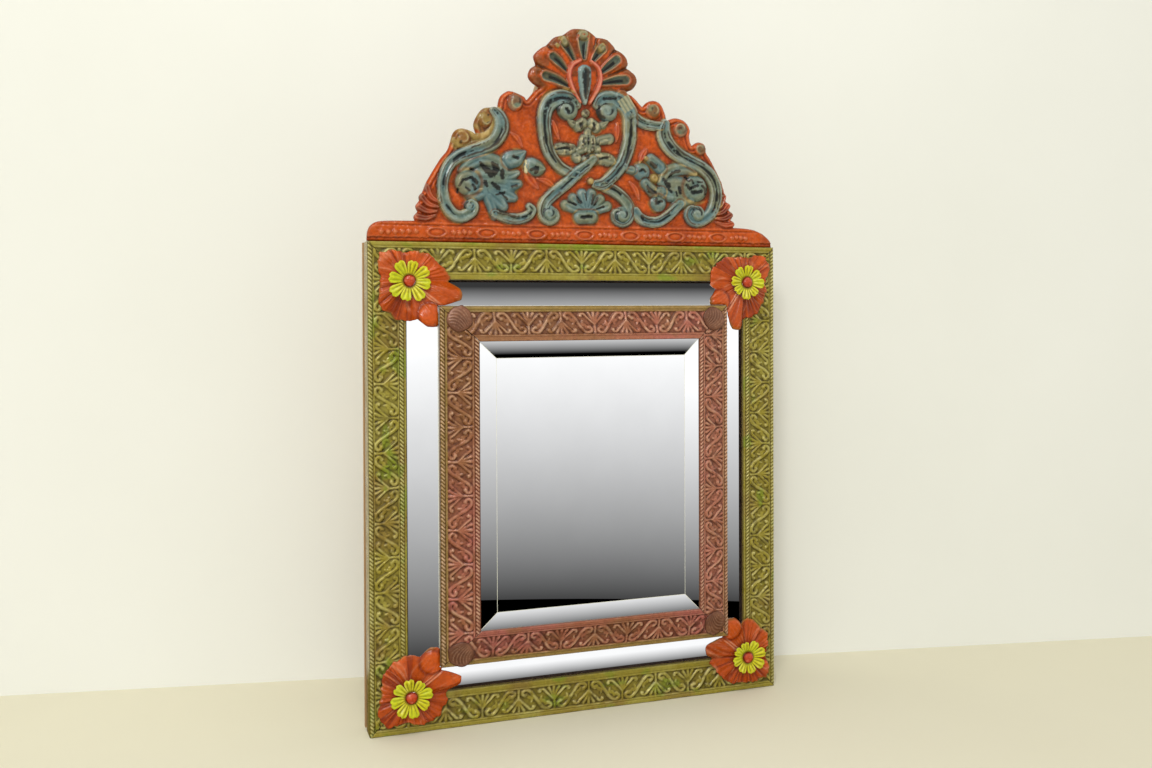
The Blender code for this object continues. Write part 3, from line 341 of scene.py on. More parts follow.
# Forms on the plate are lines of circles: x, z above the foot, radius
SCROLLS = {
    "outer_left": ((-74, 105, 4), (-69.5, 100, 5.3), (-68, 92.5, 6.2), (-70.5, 85, 6), (-76.5, 78.5, 5.6),
                   (-85, 74.5, 5.4), (-94.5, 71, 5.2), (-102.5, 67.5, 5), (-108.5, 63, 4.7),
                   (-112.5, 57, 4.5), (-115, 50.5, 4.4), (-116, 44, 4.4), (-115.5, 37.5, 4.4),
                   (-114, 31, 4.5), (-111, 25.5, 4.7), (-107, 21.5, 4.8), (-102, 20, 4.8), (-97, 21.5, 4.8),
                   (-92.5, 24.5, 4.6), (-91, 28.5, 4.2), (-93, 31, 3.4)),
    "outer_right": ((74, 102, 4), (72.5, 94.5, 6.2), (75, 87, 6.8), (81, 80, 6.4), (89, 75, 6),
                    (98, 71, 5.8), (107.5, 66.5, 5.7), (114.5, 61, 5.8), (119, 53.5, 5.8), (121, 46, 5.7),
                    (120, 37, 5.5), (117, 29.5, 5.4), (111.5, 24, 5), (105, 21, 4.8), (99, 21.5, 4.8),
                    (95.5, 25.5, 4.4), (97, 30.5, 3.8), (101.5, 31, 3)),
    "curl_right": ((43, 112.5, 3.8), (46, 106.5, 4.4), (52.5, 102, 4.5), (61.5, 100, 4.2),
                   (69.5, 100, 3.4)),
    "leg_right": ((17.5, 48.5, 4.6), (25.5, 45.5, 4.9), (33, 41, 5), (38.5, 35.5, 5), (41.5, 29, 5),
                  (40, 22, 4.9), (35, 19, 4.7), (29.5, 21.5, 4.1), (29, 26, 3.4), (33.5, 27, 2.6)),
    "strap_left": ((-5, 113.5, 4.2), (-10, 117.5, 5.4), (-17.5, 118.5, 6.6), (-25.5, 115.5, 6.8),
                   (-30.5, 109, 6.2), (-32.5, 100, 5.8), (-32, 91, 5.7), (-31, 83, 5.5), (-29, 75.5, 5.2),
                   (-25, 68.5, 4.9), (-19.5, 62.5, 4.7), (-12.5, 58.5, 4.6), (-4.5, 56, 4.2)),
    "leg_left": ((9.5, 69.5, 3.4), (3, 63.5, 4.4), (-5, 57.5, 4.9), (-11.5, 51, 5), (-19, 45, 5),
                 (-25.5, 39.5, 5), (-31, 34, 5), (-33.5, 27.5, 5), (-32, 21.5, 4.8), (-28, 19, 4.5),
                 (-23.5, 21.5, 4), (-24, 25.5, 3.2), (-27.5, 26, 2.6)),
    "strap_right": ((13.5, 114.5, 4.2), (17.5, 119, 5.6), (25, 120.5, 6.4), (31.5, 118, 6.4),
                    (37.5, 114, 5.9), (41.5, 107, 5.9), (42, 98, 5.9), (42, 88.5, 5.9), (40, 79.5, 5.8),
                    (37, 71, 5.6), (32, 62.5, 5.4), (25, 55, 5.1), (18, 49.5, 4.8), (11.5, 49, 3.6)),
    "tail_left": ((-74, 23, 3.4), (-68, 21, 4), (-61, 19.5, 4.2), (-53.5, 19.5, 4.3), (-46.5, 22, 4.2),
                  (-43, 26.5, 3.9), (-45, 29.5, 3)),
    "tail_right": ((47, 28, 3.8), (51, 22.5, 4.5), (59, 19.5, 4.5), (68, 20, 4.4), (76, 24.5, 4.4),
                   (82, 30, 4.4), (87, 35, 4)),
}
SCROLL_EYES = (
    (-13, 109.0, 9.6), (21.2, 110.0, 10.0), (-94.5, 28.5, 4.8), (-28.6, 24.6, 6.8), (35.0, 24.8, 7.2),
    (103.2, 27.2, 7.2),
)
FOLIAGE = (
    ((-86, 51, 9), (-74, 48, 11), (-66, 45, 9)), ((76, 48, 8), (88, 46, 9)),
    ((-100, 56, 3.5), (-93, 62, 5), (-83, 66, 5.4), (-73, 64, 5.4), (-67, 59, 4.4), (-65, 53, 3)),
    ((-90, 50, 6), (-81, 52, 8), (-70, 52, 7)), ((-72, 53, 5), (-62, 53.5, 4.6), (-55, 56, 2.2)),
    ((-72, 47, 5), (-61, 46.5, 5), (-54, 47.5, 3)), ((-76, 42, 6), (-65, 38.5, 5.5), (-58, 36, 3)),
    ((-80, 41, 6), (-72, 34, 6), (-67, 29, 4)), ((-79, 36, 4.5), (-76, 28, 4), (-74, 21, 3)),
    ((-92, 37, 5.5), (-83, 40, 5)),
    ((70, 53, 3.5), (74, 60, 4.8), (83, 64, 5.2), (93, 65, 4.8), (101, 61, 3)),
    ((74, 50, 6), (82, 50, 8), (92, 50, 7)), ((72, 43, 5), (80, 43, 6), (90, 42, 6)),
    ((86, 38, 6), (95, 40, 7)), ((90, 37, 5), (84, 33, 4.6), (79, 28, 3.5)),
)
ROUNDELS = (((-96, 47, 10), (-95.5, 47, 10)), ((101, 48.5, 11.3), (101.5, 48.5, 11.3)))
BUDS = (
    ((-61, 66, 6.6), (-56, 68, 6), (-49, 73, 1.4)), ((-43, 62, 6.4), (-39, 60.5, 6), (-33, 60, 1.6)),
    ((52, 61, 6.8), (52.5, 61, 6.8)), ((44, 62, 3.4), (40, 62.5, 3)), ((61, 71.5, 4.6), (69, 65, 5.2)),
    ((56, 51.5, 4.2), (64, 44, 5)), ((69, 44.5, 4.4), (69.5, 44.5, 4.4)),
    ((67, 35.5, 6.4), (67.5, 35, 6.4)),
)
CLUSTER = (
    ((5, 92, 3), (5, 87, 3.2)), ((-8, 98, 3), (-12, 100.5, 1)), ((18, 98, 3), (22, 100.5, 1)),
    ((-3, 96, 4.4), (1, 99, 4)), ((12, 96, 4.4), (8, 99, 4)), ((3, 106.5, 3), (3.5, 107, 3)),
    ((0, 80, 3.4), (1, 87, 2.6)), ((9, 80, 3.4), (9, 87, 2.6)), ((5, 79, 3.6), (5, 88, 2.6)),
    ((15, 85, 3.4), (24, 87, 4)), ((12.5, 78, 3.4), (13, 78, 3.4)), ((-1, 77, 3.8), (-3, 76, 3.2)),
    ((-9, 77, 4.2), (-19, 77, 4.6), (-26, 76, 1.4)), ((-4.5, 70, 4), (-5, 71, 4)),
    ((14, 71, 4.4), (23, 69.5, 5), (29, 67, 1.8)), ((4, 68, 4.8), (9, 69.5, 5)),
)
FAN = tuple(((3.5, 26.5, 2.6), ((3.5 + x) / 2, (25 + z) / 2, 3.4), (x, z, 4)) for x, z in (
    (-14.5, 31.5), (21.5, 31.5), (-8, 37), (15.5, 37), (0, 41), (8, 41.5)))
GROUND_LEAVES = (
    ((-25, 99, 1.2), (-23, 93, 2.6), (-20, 85, 0.8)), ((31, 100, 1.2), (31, 93, 2.4), (30, 85, 0.8)),
    ((-48, 57, 2.2), (-44, 51, 4.2), (-38, 44.5, 1.2)), ((57, 80, 1.2), (54, 75, 3), (51, 69, 1)),
    ((-60, 88, 1), (-55, 84, 2.6), (-51, 77, 0.8)), ((-22, 44, 1), (-30, 50, 2.8), (-38, 52, 1)),
    ((42, 52, 1), (47, 46, 2.8), (50, 38, 1)),
)
FLUTES = (
    ((-31, 135, 3.7), (-22, 132.5, 3.3), (-12, 128, 1.5)),
    ((-25, 151, 3.4), (-20, 147, 3.1), (-13.5, 140.5, 1.5)),
    ((-15, 162, 3.4), (-11, 156, 2.6), (-6.5, 148, 1.2)), ((1, 166, 4.4), (1, 160, 3.4), (1.5, 151.5, 1.5)),
    ((17, 160, 3.8), (13, 155, 3), (8.5, 148.5, 1.4)), ((30, 152, 3.6), (24, 147, 3.4), (15.5, 140, 1.6)),
    ((38, 136, 3.7), (30, 135, 3.5), (17, 132, 1.6)),
)
BULBS = (
    ((-16, 164.5, 3.6), (-15, 163, 3.4)), ((0, 170.5, 3.8), (2, 170.5, 3.8)),
    ((17.5, 162, 4), (16.5, 161, 4)), ((-21.5, 160.5, 2), (-21, 160, 2)),
)
HEART = (
    ((-2, 149.5, 1.8), (-9, 145, 2.5), (-11.5, 136, 2.5), (-8, 125, 2.3), (-2, 115.5, 1.6)),
    ((8, 149, 1.8), (14, 143.5, 2.5), (15.5, 134, 2.5), (12, 124.5, 2.3), (6.5, 115.5, 1.6)),
)
DROP = ((2, 140.5, 6.8), (2, 133.5, 6.4), (2.2, 124.5, 4.6), (2.4, 115.5, 2))
# Brush strokes of black paint on the blue forms
INK_SPREAD = 1.35
INK_STROKES = (
    ((-86, 63, 1), (-81, 58, 1.9), (-77, 54, 2.4)), ((-76, 63, 1.4), (-73, 60, 2), (-74, 56, 2.2)),
    ((-94, 58, 0.8), (-91, 57, 1)), ((-103, 44, 0.9), (-100, 49, 1)), ((-98, 49, 1), (-94, 51, 1)),
    ((-93, 51, 1.3), (-89, 47, 1.4)), ((-92, 45, 1), (-90, 42, 1.1)), ((-104, 42, 0.7), (-104, 39, 0.7)),
    ((-98, 43, 0.7), (-95, 41, 0.9)), ((-82, 48, 1.5), (-81, 45, 1.3)), ((-76, 47, 1.3), (-71, 43, 1.6)),
    ((-73, 38, 0.6), (-66, 40, 0.9)), ((-70, 40, 0.7), (-64, 35, 0.9)), ((-68, 57, 1.6), (-68, 52, 1.5)),
    ((-60, 45, 0.8), (-56, 46, 1.1)), ((-59, 69, 1), (-55, 67.5, 1.2)),
    ((-44, 59, 1.2), (-39, 61, 1.3), (-40, 57, 1.5)), ((-70, 25, 0.8), (-58, 21, 1)),
    ((92, 58, 1), (95, 55, 1.1)), ((97, 56, 0.8), (99, 53, 0.9)), ((93, 51, 1.2), (96, 48, 1.3)),
    ((97, 49, 1), (103, 51, 1.1)), ((98, 45, 1.4), (106, 46, 1.5)), ((107, 51, 1), (111, 48, 1.1)),
    ((110, 47, 1.2), (110, 44, 1.2)), ((103, 54, 0.8), (107, 54, 0.7)),
    ((77, 58, 1), (80, 61, 1.2), (86, 63, 1.1)), ((72, 55, 1.5), (76, 50, 2)),
    ((86, 49, 1.2), (87, 44, 1.3)), ((83, 45, 0.8), (84, 42, 0.8)), ((76, 47, 1), (79, 45, 1)),
    ((57, 49, 1.3), (60, 45, 1.9), (64, 44, 1.3)), ((64, 37, 1.1), (65, 39, 1.1)),
    ((65, 35, 1.2), (70, 37, 1.1)), ((50, 61, 0.8), (53, 63, 0.9), (55, 61, 0.8)),
    ((60, 69, 0.9), (64, 66, 1.9)), ((52, 24, 1.3), (53, 21, 0.9)), ((-12, 34, 0.8), (-6, 32, 0.8)),
    ((-5, 38, 1.2), (-2, 34, 1.4)), ((2, 41, 0.6), (3, 36, 0.6)), ((8, 33, 0.9), (9, 40, 1)),
    ((13, 38, 0.9), (10, 32, 0.9)), ((12, 29, 0.6), (18, 31, 0.8)), ((-1, 22, 1.3), (7, 22.5, 1.3)),
    ((-14, 109.5, 1.2), (-12, 106.5, 1.3)), ((-22, 117, 0.8), (-17, 118, 1.1), (-10, 117, 0.9)),
    ((14, 113, 1.1), (14.5, 107, 1.1), (19, 103.5, 0.9)), ((19, 119.5, 1.1), (29, 120, 0.9)),
    ((-2, 98, 1), (-1, 95, 1.2)), ((10, 99, 0.9), (10, 95, 1.2)), ((1, 82, 0.8), (1, 86, 0.7)),
    ((5, 82, 0.8), (5, 87, 0.6)), ((9, 82, 0.8), (9, 86, 0.6)),
    ((-23, 76, 0.7), (-13, 78, 1), (-11, 76, 0.7)), ((4, 70.5, 1.2), (5, 72, 0.9)),
    ((15, 70, 0.9), (22, 72, 1)), ((2.5, 108, 1.1), (4, 106.5, 1.1)),
    ((3.6, 141, 2.6), (3, 131, 2.5), (2.4, 119, 1)),
)
# Bumps on the edge: x, z, half width, half height, and what they are painted
EDGE_BUMPS = (
    (-56.4, 112.8, 6.6, 7.2, GREY_GREEN), (-81.5, 98, 6.6, 7.4, GOLD_BROWN), (-99.8, 81.8, 6.6, 6.8, GOLD),
    (63.3, 112.1, 7.2, 7.1, OLIVE_GREY), (88.3, 98.3, 6.4, 6.8, GREY_GREEN),
    (106.3, 82.4, 5.8, 5.6, SHELL_GREY),
)
GILT_RUNS = (
    ((-94, 87, 3), (-89, 83.5, 3.4), (-81, 85, 3.2), (-76, 91, 2.6), (-75, 99, 2)),
    ((-107, 80, 2.8), (-100, 75.5, 3.2), (-91, 77.5, 2.8), (-83, 81, 2)),
)
SHELL_NOTCHES = (
    (-38.8, 143.7), (-29.5, 160.4), (-15.2, 169.8), (13.5, 170.0), (30.5, 161.5), (40.2, 146.6),
)
BAND_OVALS = (-120.6, -80.5, -39.1, 2.0, 42.1, 82.9, 122.5)
# The cream leaf, the gilt balls, the knob under the fan and the collar of the right strap
CREAM_LEAF = ((-48, 66, 1), (-48, 57, 1.4))
GILT_BALLS = (((63.5, 56, 3.6), (64, 56, 3.6)), ((56, 72.5, 1.8), (56.5, 72, 1.8)))
KNOB = ((-2, 22, 5.2), (8, 22.3, 5.2))
COLLAR = ((34.5, 122, 5.8), (42.5, 110, 5.8))
# Balls of the rosette and where its middle is, the ball where the straps cross, and the shoulder leaves
ROSETTE_BALLS, ROSETTE = 9, (5, 80)
CROSSING_BALL = (7.0, 51.5, 3.6, 3.5)
SHOULDER_ROOT = (122.0, 20.5)
SHOULDER_TIPS = ((136.4, 19.4), (134.8, 27.0), (132.2, 34.6), (128.5, 42.5))
# Where the shell's creases point to and how far along they go, and the level of the foot's ovals and beads
SHELL_ROOT, CREASE_SHARE = (2, 128), 0.45
BAND_LEVEL = 7.4
GRID = 0.6


class Relief:
    """Heights and paint over a set of points of a face, laid on from the ground up."""

    def __init__(self, x, z, height, paint):
        self.x, self.z, self.height, self.paint = x, z, height, paint
        self.all = np.arange(len(x))

    def noise(self, at, cell, seed):
        return noise(self.x[at], self.z[at], cell, seed)

    def patches(self, at, low, high, cell, seed):
        """Soft patches from 0 to 1, where noise goes from low to high."""
        return ease(low, high, self.noise(at, cell, seed))

    def clouds(self, at, low, high, cell, seed):
        return ease(low, high, rough_noise(self.x[at], self.z[at], cell, seed))

    def lay(self, at, height, colour, cover):
        cover = cover * (height > self.height[at] - 0.25)
        self.height[at] = np.maximum(self.height[at], height)
        self.tint(at, colour, cover)

    def tint(self, at, colour, cover):
        self.paint[at] = mix(self.paint[at], colour, np.clip(cover, 0, 1))

    def trace(self, points, reach=1.2):
        """Numbers of the points near a line of circles, their place across it with and without its sign, and
        their place along it."""
        at, w, run = measure(smooth_line(points), self.x, self.z, reach)
        return at, w, np.abs(w), run

    def oval(self, x, z, long, wide, reach=1.4):
        """Numbers of the points near an oval, their place in it and their share of its radius."""
        u, v = (self.x - x) / long, (self.z - z) / wide
        at = np.flatnonzero(np.hypot(u, v) < reach)
        return at, u[at], v[at], np.hypot(u, v)[at]

    def foot_line(self, at, w, seed):
        """Gilt, and umber as painted shade, along the foot of a raised form."""
        foot = ease(0.9, 1.02, w) * fade(1.1, 1.36, w)
        self.tint(at, mix(UMBER, GOLD, self.patches(at, -0.2, 0.5, 7, seed)), 0.7 * foot)

    def blue(self, at, seed):
        """Uneven blue and grey green, with olive where the gilt under it shows."""
        tone = mix(BLUE, GREY_GREEN, self.clouds(at, -0.4, 0.6, 18, seed))
        tone = mix(tone, OLIVE_GREY, 0.6 * self.clouds(at, 0.15, 0.6, 21, seed + 3))
        return mix(tone, PALE_BLUE, 0.5 * self.clouds(at, 0.1, 0.7, 6, seed + 6))

    def rib(self, points, height, seed):
        """A broad scroll rib, hollow down its middle, with streaks of black paint along it."""
        at, w, a, run = self.trace(points, 1.4)
        self.foot_line(at, a, seed)
        body = dome(a, 4) * (1 - bead(a, 0.34, 0.40))
        # A pale band down both flanks is a painted highlight, and the cream along the edges is gilt with a
        # painted highlight
        tone = mix(self.blue(at, seed + 1), PALE_BLUE, 0.5 * ease(0.5, 0.64, a) * fade(0.72, 0.84, a))
        rim = ease(0.80, 0.90, a) * ease(-0.3, 0.3, noise(run, np.sign(w) * 9, 12, seed + 12))
        tone = mix(tone, CREAM, 0.7 * rim)
        for lane, wide, least in ((0.05, 0.26, -0.25), (-0.5, 0.12, 0.05), (0.52, 0.17, -0.3)):
            middle = lane + 0.15 * noise(run, 40 * lane, 14, seed + 14) + 0.06 * noise(run, 0, 3.5, seed + 16)
            half = wide * (0.8 + 0.6 * noise(run, 30 * lane, 7, seed + 18))
            there = noise(run, 50 * lane, 12, seed + 20) + 0.35 * noise(run, 6 * w, 1.7, seed + 22)
            streak = fade(0.6 * half, 1.25 * half + 0.03, np.abs(w - middle))
            tone = mix(tone, INK, 0.94 * ease(least, least + 0.3, there) * streak)
        self.lay(at, height * body, tone, fade(0.96, 1.04, a))

    def lobe(self, points, height, tone, crease=0.22):
        """A swelling leaf or bud with a crease down its middle."""
        at, w, a, _ = self.trace(points, 1.05)
        folds = 1 - bead(w, crease, 0.2) - 0.4 * crease * np.cos(6.5 * a) * ease(0.2, 0.5, a)
        self.lay(at, height * dome(a, 2.6) * folds, tone(at), fade(0.93, 1.03, a))

    def mass(self, forms, height, seed, tone=None):
        """Leaves and buds that grow into each other on one bed."""
        tone = tone or (lambda at: self.blue(at, seed))
        for points in forms:
            at, _, a, _ = self.trace(points, 1.45)
            self.foot_line(at, a - 0.1, seed + 2)
        # The bed between the lobes is painted darker, as painted shade
        for points in forms:
            at, _, a, _ = self.trace(points, 1.25)
            self.lay(at, 0.45 * height * fade(0.95, 1.2, a), tone(at) * 0.8, fade(1.0, 1.16, a))
        for points in forms:
            self.lobe(points, height, tone)

    def scroll_eye(self, place, height, seed):
        """The round end of a scroll, with a spiral of black paint."""
        at, u, v, e = self.oval(*place, place[2], 1.2)
        round_it = np.arctan2(v, u)
        spiral = np.cos(2 * math.pi * 1.2 * e - round_it)
        body = dome(e, 3) * (0.9 + 0.12 * spiral)
        # Paler towards the middle of the dome, as a painted highlight
        tone = mix(self.blue(at, seed), PALE_BLUE, 0.7 * fade(0.2, 0.6, e))
        worn = ease(-0.7, -0.1, noise(round_it * 3, e * 3, 2, seed + 1))
        ink = ease(-0.1, 0.35, -spiral) * worn * ease(0.3, 0.45, e)
        self.lay(at, height * body, mix(tone, INK, 0.92 * ink), fade(0.92, 1.02, e))


def closed_outline():
    """The crest's outline as a ring of points. Each run starts where the one before it ends."""
    start, lines = CREST_START, []
    for run in CREST_RUNS:
        lines.append(smooth_line((start, *run), 0.7)[:-1])
        start = run[-1]
    line = np.vstack(lines + [np.array([start], float)])
    line[:, 0] = np.clip(line[:, 0], -HALF_WIDTH, HALF_WIDTH)
    line[:, 1] = np.clip(line[:, 1], 0.0, CREST_TOP)
    foot = np.arange(HALF_WIDTH - 1, -HALF_WIDTH, -1.0)
    return np.vstack([line, np.column_stack([foot, np.zeros(len(foot))])])


FIELD_WINDOW = 9.0


def outline_field(line, xs, zs):
    """Distance to the outline over a grid, less than nothing inside, and the nearest point on it."""
    far = np.full((len(xs), len(zs)), FIELD_WINDOW)
    near = np.zeros((len(xs), len(zs), 2))
    inside = np.zeros((len(xs), len(zs)), bool)
    for a, b in zip(line, np.roll(line, -1, 0)):
        low, high = np.minimum(a, b), np.maximum(a, b)
        rows = (zs > low[1]) & (zs <= high[1])
        if rows.any():
            cross = a[0] + (zs[rows] - a[1]) * (b[0] - a[0]) / (b[1] - a[1])
            inside[:, rows] ^= xs[:, None] < cross[None, :]
        i = slice(*np.searchsorted(xs, (low[0] - FIELD_WINDOW, high[0] + FIELD_WINDOW)))
        j = slice(*np.searchsorted(zs, (low[1] - FIELD_WINDOW, high[1] + FIELD_WINDOW)))
        gx, gz = xs[i, None] - a[0], zs[None, j] - a[1]
        d = b - a
        t = np.clip((gx * d[0] + gz * d[1]) / max(d @ d, 1e-9), 0, 1)
        dist = np.hypot(gx - t * d[0], gz - t * d[1])
        closer = dist < far[i, j]
        far[i, j][closer] = dist[closer]
        near[i, j][closer] = np.stack([a[0] + t * d[0], a[1] + t * d[1]], -1)[closer]
    return np.where(inside, -far, far), near


def crest_edge(face, depth_in):
    """A rolled edge above the foot with a fillet inside it, and the shell's swelling, creased rim."""
    shell = ease(120, 128, face.z)
    plain_edge = ease(17, 22, face.z) * (1 - shell)
    face.height += plain_edge * (bead(depth_in - 2.4, 1.25, 1.25) + bead(depth_in - 5.8, 0.6, 0.8))
    # Brick in the groove between the rolled edge and the fillet is painted shade
    face.tint(face.all, BRICK, plain_edge * bead(depth_in - 4.3, 0.6, 0.8))
    face.height += 2.0 * shell * dome(1 - np.clip(depth_in / 8.0, 0, 1), 2.2)
    brown = 0.85 * shell * fade(4.5, 9, depth_in)
    face.tint(face.all, SIENNA, brown * face.patches(face.all, -0.8, 0.1, 11, 28))
    face.tint(face.all, UMBER, 0.7 * shell * face.clouds(face.all, 0.0, 0.5, 6, 29))
    for notch in SHELL_NOTCHES:
        end = [place + CREASE_SHARE * (root - place) for place, root in zip(notch, SHELL_ROOT)]
        at, _, a, _ = face.trace(((*notch, 1.7), (*end, 0.8)), 2.2)
        face.height[at] -= bead(a, 1.7, 0.8)
        # Umber in the creases is painted shade
        face.tint(at, UMBER, bead(a, 0.8, 0.8))
    face.tint(face.all, BRICK, 0.6 * fade(0.3, 1.6, depth_in))


def crest_foot(face):
    """A flat rim, a scalloped edge, ovals and beads under a moulding, and leaves at both shoulders."""
    x, z = face.x, face.z
    scallop = 2.7 + 0.55 * np.abs(np.sin(math.pi * x / 5.6)) + 0.25 * noise(x, 0, 6, 31)
    face.height += 0.95 * ease(scallop - 0.15, scallop + 0.45, z) * fade(11.6, 12.8, z)
    # A dark line along the scallops is a painted shadow under the moulding
    face.tint(face.all, INK, bead(z - scallop, 0.5, 0.42) * ease(-0.6, 0.2, noise(x, 2, 8, 33)))
    face.height += bead(z - 14.2, 0.75, 1.1) * fade(158, 166, np.abs(x))
    beads = [-137.0 - 5.4 * k for k in range(6)]
    for centre in BAND_OVALS:
        at, _, _, e = face.oval(centre, BAND_LEVEL, 9.2, 4.3)
        ring = 0.95 + bead(e - 0.82, 1.0, 0.13) + bead(e, 0.9, 0.42)
        # Brick in the groove of each oval is painted shade
        face.lay(at, ring * (e < 1.02), mix(ORANGE, BRICK, bead(e - 0.62, 0.8, 0.12)), 0.7 * (e < 1.0))
        beads += [centre + 13.6 + 4.3 * k for k in range(4)]
    for bead_x in beads:
        at, _, _, e = face.oval(bead_x, BAND_LEVEL + 0.4 * math.sin(bead_x), 2.0, 2.0, 1.1)
        face.lay(at, 0.9 + 1.3 * dome(e), ORANGE, 0.5 * (e < 1))
    for sign in (-1, 1):
        for k, (tip_x, tip_z) in enumerate(SHOULDER_TIPS):
            root_x, root_z = SHOULDER_ROOT[0], SHOULDER_ROOT[1] + 3.4 * k
            middle = sign * (tip_x + root_x) / 2, (tip_z + root_z) / 2 - 1.6, 2.4
            line = (sign * (root_x - 1.2 * k), root_z, 1.0), middle, (sign * tip_x, tip_z, 2.9)
            face.lobe(line, 2.4, lambda at: mix(GARNET, BRICK, face.patches(at, -0.2, 0.5, 6, 41)), 0.34)


def crest_bumps(face):
    """Bumps along the edge, and gilt that runs down from two of them to the scroll."""
    for n, (*place, half_x, half_z, colour) in enumerate(EDGE_BUMPS):
        if colour is GOLD or colour is GOLD_BROWN:
            at, _, _, e = face.oval(*place, 2 * half_x, 2 * half_z, 1.0)
            gilt = mix(colour, SIENNA, 0.8 * face.patches(at, -0.3, 0.3, 6, 72 + n))
            face.tint(at, gilt, 0.9 * fade(0.7, 1.0, e + 0.2 * face.noise(at, 4, 71 + n)))
        at, u, v, e = face.oval(*place, half_x, half_z, 1.25)
        swirl = np.cos(2 * math.pi * 1.1 * e - np.arctan2(v, u) + n)
        eye = mix(colour, SIENNA, 0.7 * face.patches(at, -0.35, 0.3, 5, 73 + n))
        eye = mix(eye, INK, 0.75 * face.patches(at, 0.35, 0.6, 2.2, 75 + n))
        eye = mix(eye, CREAM, 0.45 * ease(0.75, 1.0, swirl) * ease(0.3, 0.5, e))
        edge = mix(face.paint[at], colour, 0.6 * face.patches(at, -0.1, 0.5, 6, 79 + n))
        edge = mix(edge, SIENNA, 0.7 * face.patches(at, -0.3, 0.3, 5, 77 + n))
        body = 2.6 * dome(e, 2.4) + 0.35 * swirl * ease(0.2, 0.4, e) * fade(0.8, 1, e)
        face.lay(at, body, mix(eye, edge, ease(0.62, 0.80, e)), fade(0.97, 1.05, e))
    for line in GILT_RUNS:
        at, w, a, _ = face.trace(line)
        tone = mix(GOLD_BROWN, GOLD_PALE, face.patches(at, -0.1, 0.6, 4, 81))
        face.lay(at, 1.4 * dome(w), tone, 0.85 * fade(0.7, 1.1, a))


def crest_shell(face):
    """Swelling lobes with long hollow flutes, bulbs at the upper ones, and a drop in a heart."""
    for n, line in enumerate(FLUTES):
        at, _, a, _ = face.trace([(x, z, radius + 3.0) for x, z, radius in line], 1.05)
        tone = mix(DEEP_ORANGE, SIENNA, face.patches(at, -0.6, 0.3, 9, 91 + n))
        face.lay(at, 2.7 * dome(a, 3), tone, 0.8 * fade(0.9, 1.03, a))
    for n, line in enumerate(FLUTES):
        at, w, a, run = face.trace(line, 1.6)
        face.height[at] += bead(a - 1.14, 0.7, 0.15) - 1.9 * fade(0.60, 1.0, a)
        floor = mix(SHELL_GREY, GREY_GREEN, face.patches(at, -0.4, 0.4, 4, 101 + n))
        # One side of the flute's floor is paler, and the rim on that side cream: painted highlights
        floor = mix(floor, PALE_BLUE, 0.5 * ease(0.35, 0.7, -w) * fade(0.75, 0.9, a))
        dark = fade(0.24, 0.50, np.abs(w - 0.1)) * ease(1.0, 3.5, run + 1.4 * face.noise(at, 3, 111 + n))
        face.tint(at, mix(floor, INK, 0.94 * dark), fade(0.88, 1.04, a))
        lit = ease(-0.2, 0.6, -w) * bead(a - 1.06, 0.5, 0.10)
        face.tint(at, CREAM, lit * face.patches(at, -0.4, 0.3, 4, 121 + n))
    face.mass(BULBS, 3.1, 131, lambda at: mix(OLIVE_GREY, GOLD_BROWN, face.patches(at, -0.3, 0.5, 5, 133)))
    for line in HEART:
        at, w, a, _ = face.trace(line)
        # Garnet on one side of each arc, and a pink line along it as a painted highlight
        tone = mix(mix(GARNET, ROSE, ease(-0.5, 0.2, w)), PINK, bead(w - 0.1, 0.7, 0.22))
        face.lay(at, 3.5 * dome(a, 3), tone, fade(0.92, 1.05, a))
    face.lobe(DROP, 3.4, lambda at: mix(face.blue(at, 141), PALE_BLUE, 0.4), 0.1)


def crest_foliage(face):
    """Tooled leaves in the ground, then foliage, buds and the mottled cluster in the middle, with cream
    patches on it as painted highlights.
    """
    for line in GROUND_LEAVES:
        face.lobe(line, 1.5, lambda at: mix(GARNET, ORANGE, face.patches(at, -0.3, 0.5, 4, 151)), 0.4)
    face.mass(FOLIAGE, 2.7, 200)
    for n, line in enumerate(ROUNDELS):
        at, _, a, _ = face.trace(line, 1.3)
        face.foot_line(at, a, 230 + n)
        body = dome(a, 4) * (0.92 + 0.12 * np.cos(9.0 * a))
        face.lay(at, 3.2 * body, face.blue(at, 240 + n), fade(0.95, 1.04, a))
    for n, line in enumerate(BUDS):
        face.mass((line,), 2.8, 260 + 10 * n)
    face.mass((CREAM_LEAF,), 1.8, 350, lambda at: np.tile(CREAM, (len(at), 1)))
    face.mass(GILT_BALLS, 2.9, 354, lambda at: mix(GOLD_BROWN, GOLD, face.patches(at, -0.2, 0.5, 3, 356)))

    def mottled(at):
        tone = mix(face.blue(at, 362), OLIVE_GREY, 0.65)
        # Cream patches are painted highlights; the ink dots are black paint
        tone = mix(tone, CREAM, 0.55 * face.patches(at, 0.25, 0.65, 2.6, 364))
        return mix(tone, INK, 0.75 * face.patches(at, 0.45, 0.7, 2.4, 366))

    face.mass(CLUSTER, 2.5, 360, mottled)
    for turn in 2 * math.pi * np.arange(ROSETTE_BALLS) / ROSETTE_BALLS:
        place = ROSETTE[0] + 5.0 * math.cos(turn), ROSETTE[1] + 4.4 * math.sin(turn)
        at, _, _, e = face.oval(*place, 1.7, 1.6, 1.1)
        face.lay(at, 3.2 * dome(e, 3), mottled(at), fade(0.9, 1.05, e))


